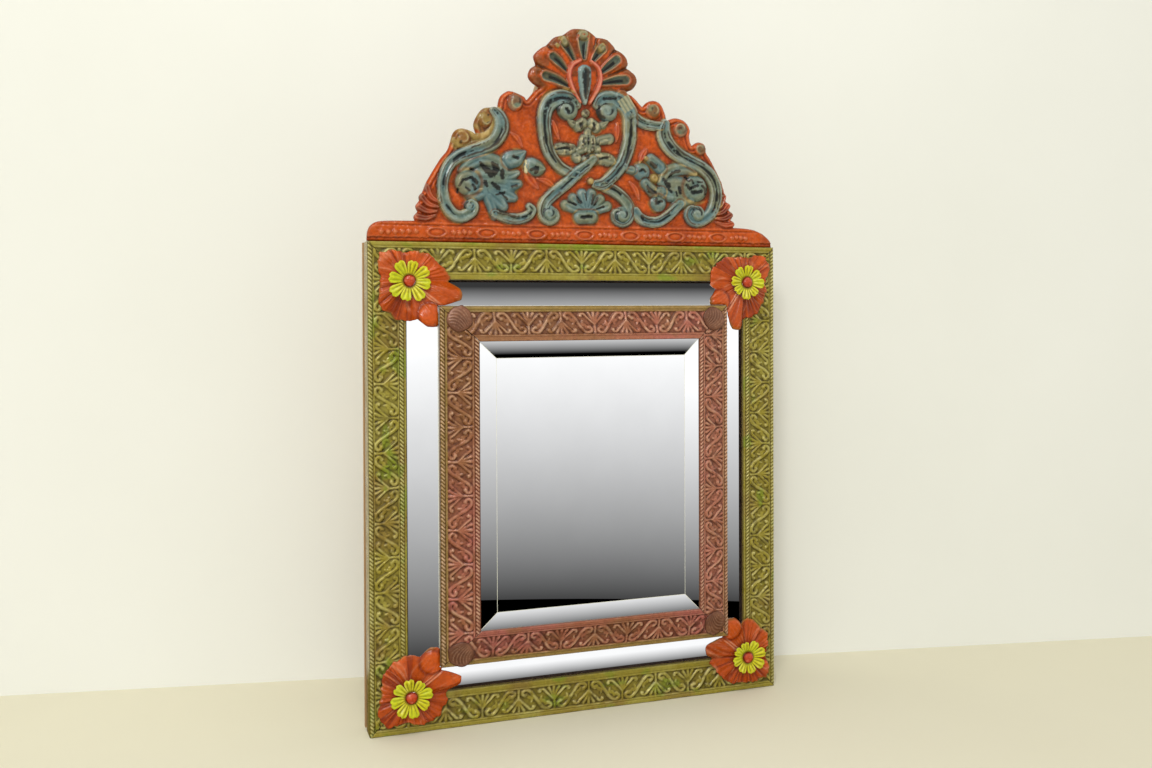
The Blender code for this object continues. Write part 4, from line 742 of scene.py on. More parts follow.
def crest_scrolls(face):
    """Scrolls, straps and legs with their eyes, the collar, the small fan, and strokes of black paint."""
    for n, (name, points) in enumerate(SCROLLS.items()):
        face.rib(points, 2.8 if name.startswith(("tail", "curl")) else 3.2, 700 + 30 * n)
    for n, place in enumerate(SCROLL_EYES):
        face.scroll_eye(place, 3.7 if place[2] > 5 else 3.3, 990 + 5 * n)
    at, w, a, run = face.trace(COLLAR, 1.0)
    flutes = np.abs(np.sin(w * 5.4))
    bound = ease(0.5, 1.5, run) * fade(12, 13.5, run) * (a < 0.96)
    face.lay(at, 2.6 + dome(w, 4) * (0.6 + 0.4 * flutes), mix(GREY_GREEN, CREAM, 0.6 * flutes), 0.8 * bound)
    face.mass(FAN, 2.6, 1100)
    face.mass((KNOB,), 3.0, 1120)
    # The ball is gold in its middle and umber at its rim: painted highlight and painted shade
    at, _, _, e = face.oval(*CROSSING_BALL)
    face.lay(at, 3.6 * dome(e), mix(GOLD, UMBER, ease(0.3, 0.9, e)), fade(0.9, 1.04, e))
    for n, line in enumerate(INK_STROKES):
        at, _, a, _ = face.trace([(x, z, INK_SPREAD * radius) for x, z, radius in line])
        face.tint(at, INK, 0.94 * fade(0.7, 1.05, a + 0.3 * face.noise(at, 1.3, 1200 + n)))


def crest_relief(x, z, depth_in):
    """Heights over the plate's face and the paint on it. depth_in is the distance in from the outline."""
    tone = mix(ORANGE, DEEP_ORANGE, 0.85 * ease(-0.15, 0.6, rough_noise(x, z, 22, 11)))
    tone = mix(tone, LIT_ORANGE, 0.5 * ease(0.2, 0.7, rough_noise(x, z, 8, 14)))
    tooled = (1 - np.abs(noise(x, z, 5.2, 25))) ** 7
    dents = 0.36 * rough_noise(x, z, 5.0, 21) + 0.12 * noise(x, z, 1.9, 23) + 0.25 * noise(x, z, 19, 24)
    face = Relief(x, z, dents + 0.3 * tooled, tone)
    crest_edge(face, depth_in)
    for add_forms in (crest_foot, crest_bumps, crest_shell, crest_foliage, crest_scrolls):
        add_forms(face)
    return face


def whole_cells(ok):
    """Cells of a grid whose corners are all in, less cells that meet only at a corner, and how many of them
    meet at each point."""
    cells = ok[:-1, :-1] & ok[1:, :-1] & ok[:-1, 1:] & ok[1:, 1:]
    while True:
        p = np.pad(cells, 1)
        a, b, c, d = p[:-1, :-1], p[1:, :-1], p[:-1, 1:], p[1:, 1:]
        crossed = (a & d & ~b & ~c) | (b & c & ~a & ~d)
        if not crossed.any():
            return cells, a.astype(int) + b + c + d
        i, j = np.argwhere(crossed)[0]
        cells[max(i - 1, 0):i + 1, max(j - 1, 0):j + 1] = False


def border_loop(cells, total):
    """Numbers of the points round the border of a sheet of cells, in order."""
    sides = np.vstack([cells[:, [k, (k + 1) % 4]] for k in range(4)])
    key = np.sort(sides, 1)
    _, first, times = np.unique(key[:, 0] * total + key[:, 1], return_index=True, return_counts=True)
    follows = {int(a): int(b) for a, b in sides[first[times == 1]]}
    loop = [next(iter(follows))]
    while follows[loop[-1]] != loop[0]:
        loop.append(follows[loop[-1]])
    return loop


def build_crest():
    """The crest plate: a sheet of cells inside the outline with its relief, a rim and a flat back."""
    xs = np.arange(-HALF_WIDTH, HALF_WIDTH + 0.1, GRID)
    zs = np.arange(0.0, CREST_TOP + GRID, GRID)
    signed, nearest = outline_field(closed_outline(), xs, zs)
    quads, count = whole_cells(signed < 0.3 * GRID)
    used, edge = count > 0, (count > 0) & (count < 4)
    number = -np.ones(used.shape, int)
    number[used] = np.arange(used.sum())
    gx, gz = np.meshgrid(xs, zs, indexing="ij")
    gx, gz = np.where(edge, nearest[..., 0], gx)[used], np.where(edge, nearest[..., 1], gz)[used]
    depth_in = np.where(edge, 0.0, -signed)[used]
    face = crest_relief(gx, gz, np.clip(depth_in, 0, FIELD_WINDOW))

    # Darken the hollows with painted shade and dirt, and lighten the ridges with worn paint and a painted
    # highlight
    table = np.zeros(used.shape)
    table[used] = face.height
    hollow, wide = ((blur(table, radius) - table)[used] for radius in (3, 8))
    face.tint(face.all, face.paint * 0.34, ease(0, 3, depth_in) * np.clip(hollow + 0.34 * wide, 0, 0.8))
    face.tint(face.all, mix(face.paint, BUFF, 0.26), np.clip(-0.55 * hollow, 0, 0.5))
    rolled = 1.15 * (1 - dome(1 - np.clip(depth_in / 1.5, 0, 1)))
    points = np.column_stack([gx, CREST_FRONT + face.height - rolled, gz + CREST_FOOT])

    i, j = np.nonzero(quads)
    cells = np.column_stack([number[i, j], number[i + 1, j], number[i + 1, j + 1], number[i, j + 1]])
    loop = border_loop(cells, len(points))
    behind = points[loop] * (1, 0, 1) + (0, CREST_BACK, 0)
    back = list(range(len(points), len(points) + len(loop)))
    rim = list(zip(loop, back, back[1:] + back[:1], loop[1:] + loop[:1]))
    faces = list(cells) + rim + [back[::-1]]
    paint = np.vstack([face.paint, np.tile(BRICK, (len(loop), 1))])
    add_piece("embossed_crest", np.vstack([points, behind]), faces, [CREST_PAINT],
              ["crest_plate"], paint, [len(faces) - 1])


build_crest()


# Frame strips

OLIVE, OLIVE_DARK, OLIVE_PALE = pigment(158, 144, 60), pigment(72, 62, 22), pigment(222, 214, 146)
OLIVE_BROWN, OLIVE_GREEN, OLIVE_LIT = pigment(148, 126, 62), pigment(126, 152, 48), pigment(168, 158, 76)
MAROON, MAROON_DARK, MAROON_PALE = pigment(166, 104, 80), pigment(82, 46, 32), pigment(224, 186, 154)
MAROON_BROWN, MAROON_PINK, MAROON_LIT = pigment(146, 104, 68), pigment(176, 104, 92), pigment(186, 124, 100)
BRASSY, FOLD_BEIGE = pigment(150, 128, 68), pigment(168, 142, 112)
# One rib of the running scroll: share of the half length, share of the field's half width
S_RIB = ((0.18, 0.42), (0.11, 0.56), (0.11, 0.77), (0.19, 0.90), (0.29, 0.84), (0.39, 0.52), (0.46, 0.18),
         (0.54, -0.18), (0.61, -0.52), (0.71, -0.84), (0.81, -0.90), (0.89, -0.77), (0.89, -0.56),
         (0.82, -0.42))
RIB_RADIUS, BALL_RADIUS = 1.45, 1.75
# On either side of a fan's middle, as peak and points with radii: a tendril, its ball, a petal and a ray
FAN_SIDES = (
    (0.85, ((0.02, 0.14, 0.9), (0.11, -0.18, 1.0), (0.23, -0.55, 1.1), (0.32, -0.82, 1.1),
            (0.41, -0.80, 1.1))),
    (0.95, ((0.41, -0.66, 1.5), (0.42, -0.66, 1.5))),
    (0.62, ((0.36, -0.2, 0.6), (0.38, 0.1, 1.3), (0.33, 0.34, 0.6))),
    (0.72, ((0.03, -0.10, 0.7), (0.08, -0.5, 1.1), (0.15, -0.9, 1.2))),
)
# The fan's middle ray and its stalk
FAN_MIDDLE = (((0, -0.05, 0.7), (0, -0.5, 1.1), (0, -0.92, 1.2)),
              ((0, 0.0, 1.5), (0, 0.3, 0.9), (0, 0.98, 1.2)))
# Middle of the ornament and half its width, by whether the strip is an inner one and a stile
FIELDS = {(False, False): (14.3, 9.0), (False, True): (13.8, 9.1),
          (True, False): (13.5, 8.5), (True, True): (14.6, 9.0)}
# Places of the ropes and of the fillets beside them, by whether the strip is an inner one
ROPES = {False: (1.9, 25.8), True: (1.8, 27.3)}
FILLETS = {False: (23.4, 4.6), True: (24.6, 4.6)}
ROPE_RADIUS, ROPE_PITCH = 1.5, 3.0
RELIEF_TOP, EDGE_ROLL = 1.2, 0.9
# Steps of the mesh across a strip, along an upright one and along a level one
FACE_STEP, STILE_STEP, RAIL_STEP = 0.5, 0.55, 0.8
# How far the bosses stand off the middle of the inner rails, towards the outer edge, and the room they clear
BOSS_SHIFT = {"top_left": 3.6, "top_right": 2.6, "bottom_left": 3.6, "bottom_right": 0.0}
BOSS_ROOM = (8.5, 12.0)
BOSSES = [(sx * (INNER_EDGES[1] - INNER["left"] / 2),
           INNER_EDGES[3 if sz > 0 else 2] - sz * (INNER["top"] / 2 - BOSS_SHIFT[corner]))
          for corner, (sx, sz, _) in CORNERS.items()]
# Half length of the scroll and where one of its fans stands on each side
OUTER_RUNS = {"top": (29.7, -91.0), "bottom": (29.7, -86.1), "left": (26.7, 81.1), "right": (26.4, 126.9)}
INNER_RUNS = {"top": (27.3, -79.9), "bottom": (27.9, 85.4), "left": (26.3, 73.8), "right": (25.5, 90.4)}


def run_pattern(half, field):
    """Heights from 0 to 1 of the running scroll over one turn, as a table along and across."""
    along = np.arange(0, 2 * half, 0.35)
    x, z = (part.ravel() for part in np.meshgrid(along, np.linspace(-field, field, 55), indexing="ij"))
    height = np.zeros(len(x))

    def raise_line(base, sign, peak, points):
        for shift in (-2 * half, 0, 2 * half):
            line = [(base + shift + a * half, sign * b * field, radius) for a, b, radius in points]
            at, w, _ = measure(smooth_line(line, 0.6), x, z, 1.0)
            height[at] = np.maximum(height[at], peak * dome(w))

    for base, sign in ((0, 1), (half, -1)):
        raise_line(base, sign, 1.0, [(a, b, RIB_RADIUS) for a, b in S_RIB])
        for a, b in (S_RIB[0], S_RIB[-1]):
            raise_line(base, sign, 1.0, [(a, b, BALL_RADIUS), (a + 0.01, b, BALL_RADIUS)])
        for a, b in ((0.24, 0.5), (0.76, -0.5)):
            raise_line(base, sign, 0.45, [(0.5 + 0.72 * (a - 0.5), 0.3 * b, 1.0), (a, b, 1.9)])
        for way in (-1, 1):
            for peak, points in FAN_SIDES:
                raise_line(base, sign, peak, [(way * a, b, radius) for a, b, radius in points])
        for points in FAN_MIDDLE:
            raise_line(base, sign, 0.8, points)
    return height.reshape(len(along), -1), along[1], field


def sample(pattern, along, across):
    """The pattern's height at places along and across a strip."""
    table, step, field = pattern
    rows, columns = table.shape
    u = (along / step) % rows
    v = np.clip((across + field) / (2 * field), 0, 1) * (columns - 1)
    i, j = np.floor(u).astype(int) % rows, np.minimum(np.floor(v).astype(int), columns - 2)
    a, b = u - np.floor(u), v - j
    k = (i + 1) % rows
    return ((table[i, j] * (1 - a) + table[k, j] * a) * (1 - b)
            + (table[i, j + 1] * (1 - a) + table[k, j + 1] * a) * b)


class Side:
    """One side of a frame with mitred corners: how it lies between its edges."""

    def __init__(self, side, edges, widths):
        left, right, low, high = edges
        self.side, self.width, self.stile = side, widths[side], side in ("left", "right")
        self.start, self.end = (low, high) if self.stile else (left, right)
        self.edge = {"top": high, "bottom": low, "left": left, "right": right}[side]
        self.inward = 1 if side in ("bottom", "left") else -1
        self.slopes = [widths[other] / self.width for other in NEIGHBOURS[side]]

    def ends(self, reach):
        """First and last place along the side at a reach in from its edge."""
        return self.start + self.slopes[0] * reach + GAP, self.end - self.slopes[1] * reach - GAP

    def place(self, along, depth, reach):
        across = self.edge + self.inward * reach
        return (across, depth, along) if self.stile else (along, depth, across)


class Strip(Side):
    """One embossed strip of sheet metal, folded over a rail of the outer or the inner frame."""

    def __init__(self, side, inner, seed):
        if inner:
            super().__init__(side, INNER_EDGES, INNER)
        else:
            super().__init__(side, OUTER_EDGES, dict.fromkeys(NEIGHBOURS, RAIL))
        self.inner, self.seed = inner, seed
        self.middle, self.field = FIELDS[inner, self.stile]
        half, self.phase = (INNER_RUNS if inner else OUTER_RUNS)[side]
        self.pattern = run_pattern(half, self.field)

    def noise(self, grid, cell, number):
        return noise(*grid, cell, self.seed + number)

    def level(self, reach):
        """Depth of the plain face at a reach in from the edge."""
        return INNER_LOW + INNER_RISE * reach / self.width if self.inner else STRIP_FRONT + 0 * reach

    def relief(self, grid, x, z):
        """Height over the plain level, how much of the face is ornament, and the ropes' twist, -1 to 1."""
        along, reach = grid
        inside = fade(self.field - 0.2, self.field + 0.5, np.abs(reach - self.middle))
        if self.inner:
            inside = inside * ease(*BOSS_ROOM, np.min([np.hypot(x - p, z - q) for p, q in BOSSES], 0))
        relief = sample(self.pattern, along - self.phase + 0.5 * self.noise(grid, 9, 0), self.middle - reach)
        relief = relief * (0.86 + 0.14 * self.noise(grid, 14, 1))
        height = inside * (-0.5 + 1.7 * relief) + 0.10 * rough_noise(*grid, 2.4, self.seed + 2)
        height = height + 0.16 * self.noise(grid, 21, 3)
        twist = np.zeros(along.shape)
        if self.stile:
            for place in ROPES[self.inner]:
                off = (reach - place) / ROPE_RADIUS
                turn = np.cos(2 * math.pi * (along / ROPE_PITCH + 0.45 * off))
                height = height + ROPE_RADIUS * dome(off) * (0.52 + 0.40 * turn)
                twist = twist + turn * (dome(off) > 0)
                height = height - bead(np.abs(reach - place) - ROPE_RADIUS - 0.3, 0.4, 0.35)
            inside_fillet, outside_fillet = FILLETS[self.inner]
            height = height + bead(reach - inside_fillet, 0.5, 0.5) + bead(reach - outside_fillet, 0.4, 0.6)
        else:
            low, high = self.middle - self.field - 0.2, self.middle + self.field + 0.2
            height = height + 0.60 * fade(low - 0.7, low, reach) + 0.60 * ease(high, high + 0.7, reach)
            height = height - bead(reach - low * 0.66, 0.55, 0.35)
            height = height - bead(reach - high - (self.width - high) * 0.30, 0.5, 0.35)
        edge = np.clip(np.minimum(reach, self.width - reach) / EDGE_ROLL, 0, 1)
        height = np.minimum(height, RELIEF_TOP) - 0.8 * (1 - dome(1 - edge))
        return height, inside, twist

    def base_tone(self, grid):
        """Paint before hollows and ridges: maroon, browner at the top left, or olive with greener patches."""
        along, reach = grid
        cloud = rough_noise(*grid, 30, self.seed + 10)
        if self.inner:
            brown = {"left": ease(-60, 80, along), "top": ease(-60, 80, -along)}.get(self.side, 0 * along)
            tone = mix(mix(MAROON, MAROON_PINK, ease(-0.1, 0.7, cloud)), MAROON_BROWN, 0.85 * brown)
            tone = mix(tone, MAROON_BROWN, 0.6 * ease(0.1, 0.6, rough_noise(*grid, 17, self.seed + 14)))
            brassy = fade(4.6, 6.0, reach) if self.stile else fade(3.6, 5.6, reach)
            tone = mix(tone, BRASSY, 0.85 * brassy)
            # The right inner stile is painted lighter: painted light that falls on that side
            return mix(tone, MAROON_LIT, 0.55) if self.side == "right" else tone
        tone = mix(OLIVE, OLIVE_BROWN, ease(0.0, 0.7, cloud))
        tone = mix(tone, OLIVE_LIT, 0.7 * ease(0.0, 0.6, rough_noise(*grid, 23, self.seed + 16)))
        green = ease(0.36, 0.66, rough_noise(along, 1.8 * reach, 24, self.seed + 12))
        return mix(tone, OLIVE_GREEN, 0.6 * green)

    def paint(self, grid, height, inside, twist):
        """Paint over the face: tone by tone, with painted shade in the hollows, and worn paint with a painted
        highlight on the ridges.
        """
        dark, pale = (MAROON_DARK, MAROON_PALE) if self.inner else (OLIVE_DARK, OLIVE_PALE)
        hollow, wide = (blur(height, radius) - height for radius in (2, 5))
        tone = mix(self.base_tone(grid), dark, np.clip(1.15 * hollow + 0.5 * wide, 0, 0.9))
        wear_and_highlight = np.clip(-1.1 * hollow - 0.14, 0, 0.7) * ease(-0.6, 0.4, self.noise(grid, 5, 18))
        tone = mix(tone, pale, wear_and_highlight)
        # On the ropes, painted shade in the grooves of the twist and a painted highlight on its crests
        tone = mix(tone, dark, 0.65 * ease(0.1, 0.8, -twist))
        tone = mix(tone, pale, 0.5 * ease(0.4, 1.0, twist))
        return mix(tone, dark, 0.45 * ease(0.45, 0.75, self.noise(grid, 3.2, 20)) * inside)

    def section(self):
        """The wall and the underside of the sheet, as (reach, depth) on either side of its face."""
        inside = self.width - SHEET
        if self.inner:
            begin = MARGIN_LOW + MARGIN_RISE * (MARGIN[self.side] + SHEET) / MARGIN[self.side] + GAP
            tuck = MIRROR_EDGE + BEVEL_DROP * TUCK / BEVEL + GAP
            bed = [self.level(reach) - SHEET for reach in (inside, SHEET)]
            depths = (begin, begin + 2.2, begin + 4.0, INNER_LOW - 1.3)
        else:
            begin, tuck = FOLD_BACK, MARGIN_LOW + GAP
            bed = [RAIL_FRONT + GAP] * 2
            depths = (begin, begin + 1.5, 17.0, 22.5, STRIP_FRONT - 1.6)
        under = [(self.width, tuck), (inside, tuck), (inside, bed[0]), (SHEET, bed[1]), (SHEET, begin)]
        return [(0, depth) for depth in depths], under

    def build(self):
        wall, under = self.section()
        face = np.linspace(0, self.width, int(self.width / FACE_STEP) + 1)
        stations = int((self.end - self.start) / (STILE_STEP if self.stile else RAIL_STEP))
        reach = np.array([p[0] for p in wall] + list(face) + [p[0] for p in under])
        first, last = self.ends(reach)
        along = first + (last - first) * np.linspace(0, 1, stations)[:, None]
        points = np.zeros((stations, len(reach), 3))
        depth = np.array([p[1] for p in wall] + list(self.level(face)) + [p[1] for p in under])
        for axis, value in enumerate(self.place(along, depth, reach)):
            points[..., axis] = value
        faced = slice(len(wall), len(wall) + len(face))
        grid = along[:, faced], np.tile(face, (stations, 1))
        height, inside, twist = self.relief(grid, points[:, faced, 0], points[:, faced, 2])
        points[:, faced, 1] += height
        paint = np.tile(MAROON_BROWN if self.inner else OLIVE_BROWN, (*along.shape, 1))
        paint[:, faced] = self.paint(grid, height, inside, twist)
        for k, (_, back) in enumerate(wall):
            far = (back - wall[0][1]) / (wall[-1][1] - wall[0][1])
            folded = mix(FOLD_BEIGE, OLIVE, min(1.0, far * 1.25))
            ground = mix(BRASSY, MAROON_BROWN, 0.5) if self.inner else folded
            stain = 0.3 + 0.3 * self.noise((along[:, k], back), 14, 30)
            paint[:, k] = mix(np.tile(ground, (stations, 1)), OLIVE_BROWN, stain)
        number = np.arange(along.size).reshape(along.shape)
        after = np.roll(number, -1, 1)
        cells = np.stack([number[:-1], number[1:], after[1:], after[:-1]], -1)
        faces = list(cells.reshape(-1, 4)) + [list(number[0]), list(number[-1][::-1])]
        ring, colour = ("inner", "maroon") if self.inner else ("outer", "olive")
        piece = add_piece("embossed_%s_%s" % (ring, self.side), points.reshape(-1, 3), faces,
                          [MAROON_PAINT if self.inner else OLIVE_PAINT],
                          ["%s_strip_%s" % (ring, self.side)], paint.reshape(-1, 3),
                          [len(faces) - 2, len(faces) - 1])
        piece.visible_glossy = False


# Corner leaves, flowers, pins and bosses

def spun_piece(name, node, shape, hole, rings, steps, place, material, slot, thick=SHEET, lean=0.0):
    """A closed sheet spun about a hole. Its shape is reach(angle), height(angle, radius, share) and
    paint(angle, radius, share)."""
    reach, height, paint = shape
    x, depth, z, turn = place
    angle = np.linspace(-math.pi, math.pi, steps, endpoint=False)[None, :]
    share = np.linspace(0, 1, rings + 1)[:, None]
    radius = hole + (reach(angle) - hole) * share
    angle = np.broadcast_to(angle, radius.shape)
    share = np.broadcast_to(share, radius.shape)
    high = height(angle, radius, share)
    tone = paint(angle, radius, share).reshape(-1, 3)
    points = []
    for offset in (0.0, -thick):
        u, v, h = radius * np.cos(angle), radius * np.sin(angle), high + offset
        u, h = u * math.cos(lean) - h * math.sin(lean), u * math.sin(lean) + h * math.cos(lean)
        points.append(np.stack([x + u * math.cos(turn) - v * math.sin(turn), depth + h,
                                z + u * math.sin(turn) + v * math.cos(turn)], -1).reshape(-1, 3))
    n = (rings + 1) * steps
    number = np.arange(n).reshape(rings + 1, steps)
    after = np.roll(number, -1, 1)
    front = np.stack([number[:-1], number[1:], after[1:], after[:-1]], -1).reshape(-1, 4)
    rim = np.stack([number[-1], number[-1] + n, after[-1] + n, after[-1]], -1)
    core = np.stack([number[0], after[0], after[0] + n, number[0] + n], -1)
    faces = np.vstack([front, front[:, ::-1] + n, rim, core])
    # The underside gets a darker copy of the paint, as painted shade
    both = np.vstack([tone, tone * 0.55])
    piece = add_piece(name, np.vstack(points), faces, [material], [node], both)
    piece.visible_glossy = False


# How far a leaf reaches at an angle off the line to the middle of the mirror
LEAF_TABLE = ((0, 31), (9, 36), (20, 43), (30, 40), (39, 31.5), (57, 32), (76, 29), (92, 28.5), (110, 25),
              (130, 22.5), (146, 23), (163, 27.5), (180, 30.5))
LOBE_ANGLE, LOBE_TURN, FRAME_CLEAR = 20.0, 6.0, 0.8
# The bud: the side its lobe is on at each corner, how far out it sits and its radius
BUD_SIDE = {"top_left": -1, "top_right": -1, "bottom_left": 1, "bottom_right": -1}
BUD_OUT, BUD_RADIUS = 30.5, 9.0
FLOWER_SIZE = {"top_left": 1.0, "top_right": 0.88, "bottom_left": 0.94, "bottom_right": 0.9}
PETALS, PETAL_ROOT, PETAL_RIBS = 8, 8.6, 2.6
FLOWER_SEAT, PIN_SEAT, PIN_HEIGHT = 4.0, 0.75, 3.0
BOSS_RADIUS, BOSS_POINT, BOSS_VEINS = 9.9, 2.3, 2.3
# Rings and steps round of each mesh, and sheets of their own thickness
LEAF_MESH, FLOWER_MESH, PIN_MESH, BOSS_MESH = (28, 288), (16, 240), (10, 40), (14, 96)
PIN_SHEET, BOSS_SHEET = 0.35, 0.8
LEAF_RED, LEAF_DARK = pigment(186, 82, 36), pigment(114, 44, 20)
LEAF_PALE, LEAF_BRIGHT = pigment(232, 160, 122), pigment(210, 94, 42)
YELLOW, YELLOW_DARK, YELLOW_PALE = pigment(212, 206, 42), pigment(128, 116, 14), pigment(238, 234, 118)
YELLOW_GREEN, HEART_BROWN = pigment(196, 212, 44), pigment(120, 82, 34)
PIN_RED, PIN_DARK, PIN_LIT = pigment(194, 80, 50), pigment(116, 42, 26), pigment(222, 120, 92)
BOSS_DARK, BOSS_LIT = pigment(118, 80, 62), pigment(138, 96, 74)


def flat_place(angle, radius):
    return radius * np.cos(angle), radius * np.sin(angle)


def leaf_shape(seed, bud, to_frame):
    """Reach, height and paint of one corner leaf. bud is the side, -1 or 1, of its puffed lobe, and
    to_frame(angle) the distance to the inner frame's wall."""
    shift = np.random.default_rng(seed).uniform(-0.7, 0.7, 4)
    degrees, reaches = np.array(LEAF_TABLE).T
    lobe_angle = math.radians(LOBE_ANGLE)

    def folds(angle, count, number):
        """Uneven folds round the leaf, about count of them."""
        return noise(*flat_place(angle, count / math.pi), 1.0, seed + number)

    def large_and_small(angle, small):
        return folds(angle, 26, 3) + small * folds(angle, 60, 4)

    def veins(angle, radius):
        swept = angle + 0.012 * radius * np.sin(3 * angle + shift[0])
        return (1 - np.abs(folds(swept, 40, 7))) ** 9 * ease(7, 14, radius)

    def lobe(angle):
        return fade(31, 46, np.abs(np.degrees(angle)))

    def turned(angle):
        """The angle with the lobes turned away from the bud, and the rest of the leaf as it is."""
        return angle + bud * math.radians(LOBE_TURN) * fade(36, 62, np.abs(np.degrees(angle)))

    def reach(angle):
        base = np.interp(np.abs(np.degrees(turned(angle))), degrees, reaches)
        base = base * (1 + 0.03 * np.sin(3 * angle + shift[2]))
        frill = 1.7 * folds(angle, 20, 1) + 0.9 * folds(angle, 44, 2)
        free = np.minimum(base, LEAF_REACH) + frill * (1 - 0.75 * lobe(angle)) - 0.8
        return np.minimum(free, to_frame(angle) - FRAME_CLEAR)

    def puff(angle, radius):
        u, v = flat_place(turned(angle), radius)
        bud_u, bud_v = flat_place(bud * lobe_angle, BUD_OUT)
        return np.hypot(u - bud_u, v - bud_v) / BUD_RADIUS

    def vein_pair(angle, radius):
        across = radius * np.sin(turned(angle))
        return bead(across - 1.0, 1.0, 0.55) + bead(across + 1.0, 1.0, 0.55)

    def height(angle, radius, share):
        body = -LEAF_CROWN * (radius / LEAF_BODY) ** 2
        high = body + (LEAF_RISE * radius / LEAF_REACH - body) * lobe(angle)
        soft = ease(6, 20, radius) * (1 - 0.5 * lobe(angle))
        high = high + 0.90 * soft * large_and_small(angle, 2 / 3) + 0.35 * veins(angle, radius)
        high = high + 0.5 * np.sin(3 * angle + shift[3]) * ease(8, 26, radius) * (1 - lobe(angle))
        high = high - 0.7 * ease(0.90, 1.0, share)
        high = high + 2.8 * dome(puff(angle, radius)) * lobe(angle)
        side = np.degrees(turned(angle)) * bud
        high = high + bead(side + LOBE_ANGLE, 1.1, 9) * ease(12, 24, radius) * fade(36, 43, radius)
        stalk = (np.cos(angle) > 0) * ease(9, 14, radius) * fade(25, 28, radius)
        return np.maximum(high + 0.8 * vein_pair(angle, radius) * stalk, -1.85)

    def paint(angle, radius, share):
        u, v = flat_place(angle, radius)
        tone = mix(LEAF_RED, LEAF_BRIGHT, ease(-0.1, 0.5, rough_noise(u, v, 16, seed + 3)))
        # Painted shade in the folds, and painted highlights on the raised veins and on the vein pair along
        # the stalk
        deep = ease(0.1, 0.7, -large_and_small(angle, 0.65)) * ease(5, 16, radius)
        tone = mix(tone, LEAF_DARK, 0.6 * deep * (1 - 0.5 * lobe(angle)))
        tone = mix(tone, LEAF_PALE, 0.5 * veins(angle, radius) * ease(-0.4, 0.3, noise(u, v, 7, seed + 4)))
        tone = mix(tone, LEAF_PALE, np.clip(0.8 * vein_pair(angle, radius) * (u > 9) * (u < 28), 0, 0.8))
        # The bud is lighter as a painted highlight, with painted shade round its foot, and the middle is
        # darker as painted shade under the flower
        tone = mix(tone, LEAF_BRIGHT, 0.6 * fade(0.8, 1.0, puff(angle, radius)))
        tone = mix(tone, LEAF_DARK, bead(puff(angle, radius) - 1.08, 0.7, 0.12) * lobe(angle))
        tone = mix(tone, LEAF_DARK, 0.5 * fade(10, 17, radius))
        return mix(tone, OLIVE_BROWN, 0.5 * ease(0.93, 1.0, share) * ease(0, 0.5, noise(u, v, 9, seed + 5)))

    return reach, height, paint


def flower_shape(seed, size):
    """Reach, height and paint of one flower of uneven, notched petals. size scales their length."""
    rng = np.random.default_rng(seed)
    turn, sizes = rng.uniform(-0.3, 0.3), rng.uniform(-2.2, 0.7, PETALS)
    wobble, cup = rng.uniform(-0.12, 0.12, PETALS), rng.uniform(-0.5, 0.9, PETALS)

    def petal(angle):
        """The petal an angle falls in, the share of its half width, -1 to 1, and its ribs."""
        place = (angle + turn) / (2 * math.pi) * PETALS
        index = np.floor(place + 0.5).astype(int) % PETALS
        across = 2 * (place - np.floor(place + 0.5)) + wobble[index]
        return index, across, np.cos(across * math.pi * PETAL_RIBS)

    def reach(angle):
        index, across, _ = petal(angle)
        a = np.clip(1.08 * np.abs(across), 0, 1)
        tip = size * (FLOWER_RADIUS + 2.9 + sizes[index]) - bead(across, 0.9, 0.16) - bead(a - 0.55, 0.4, 0.1)
        return PETAL_ROOT + (tip - PETAL_ROOT) * dome(a, 4)

    def height(angle, radius, share):
        index, across, rib = petal(angle)
        out = ease(5, 10, radius)
        arch = 1.1 * (1 - across ** 2) * out - 0.5 * ease(0.88, 1, share)
        return (1.9 + cup[index]) * (radius / FLOWER_RADIUS) ** 1.5 + 0.32 * rib * out + arch

    def paint(angle, radius, share):
        _, across, rib = petal(angle)
        u, v = flat_place(angle, radius)
        # Paler on the ribs as a painted highlight, and darker in the grooves and along the petal sides as
        # painted shade
        tone = mix(YELLOW, YELLOW_PALE, 0.6 * ease(0.3, 1.0, rib) * ease(-0.5, 0.3, noise(u, v, 6, seed + 3)))
        groove = ease(0.2, 0.95, -rib) * ease(4, 8, radius) * fade(0.75, 1.0, share)
        tone = mix(tone, YELLOW_DARK, 0.8 * groove)
        tone = mix(tone, YELLOW_DARK, 0.85 * ease(0.84, 1.0, np.abs(across)))
        tone = mix(tone, YELLOW_GREEN, 0.5 * ease(0, 0.6, noise(u, v, 8, seed + 2)))
        return mix(tone, HEART_BROWN, 0.9 * fade(4.8, 6.8, radius))

    return reach, height, paint


def pin_shape(seed):
    """Reach, height and paint of one domed pin."""

    def reach(angle):
        return PIN_HEAD * (1 + 0.03 * np.sin(3 * angle + seed))

    def height(angle, radius, share):
        return PIN_HEIGHT * dome(0.995 * share) * (1 + 0.05 * np.sin(2 * angle + seed))

    def paint(angle, radius, share):
        # Darker towards the rim as painted shade, with patches of painted highlight
        tone = mix(PIN_RED, PIN_DARK, ease(0.7, 1.0, share))
        return mix(tone, PIN_LIT, 0.5 * ease(0.2, 0.7, noise(*flat_place(angle, radius), 2.2, 5)))

    return reach, height, paint


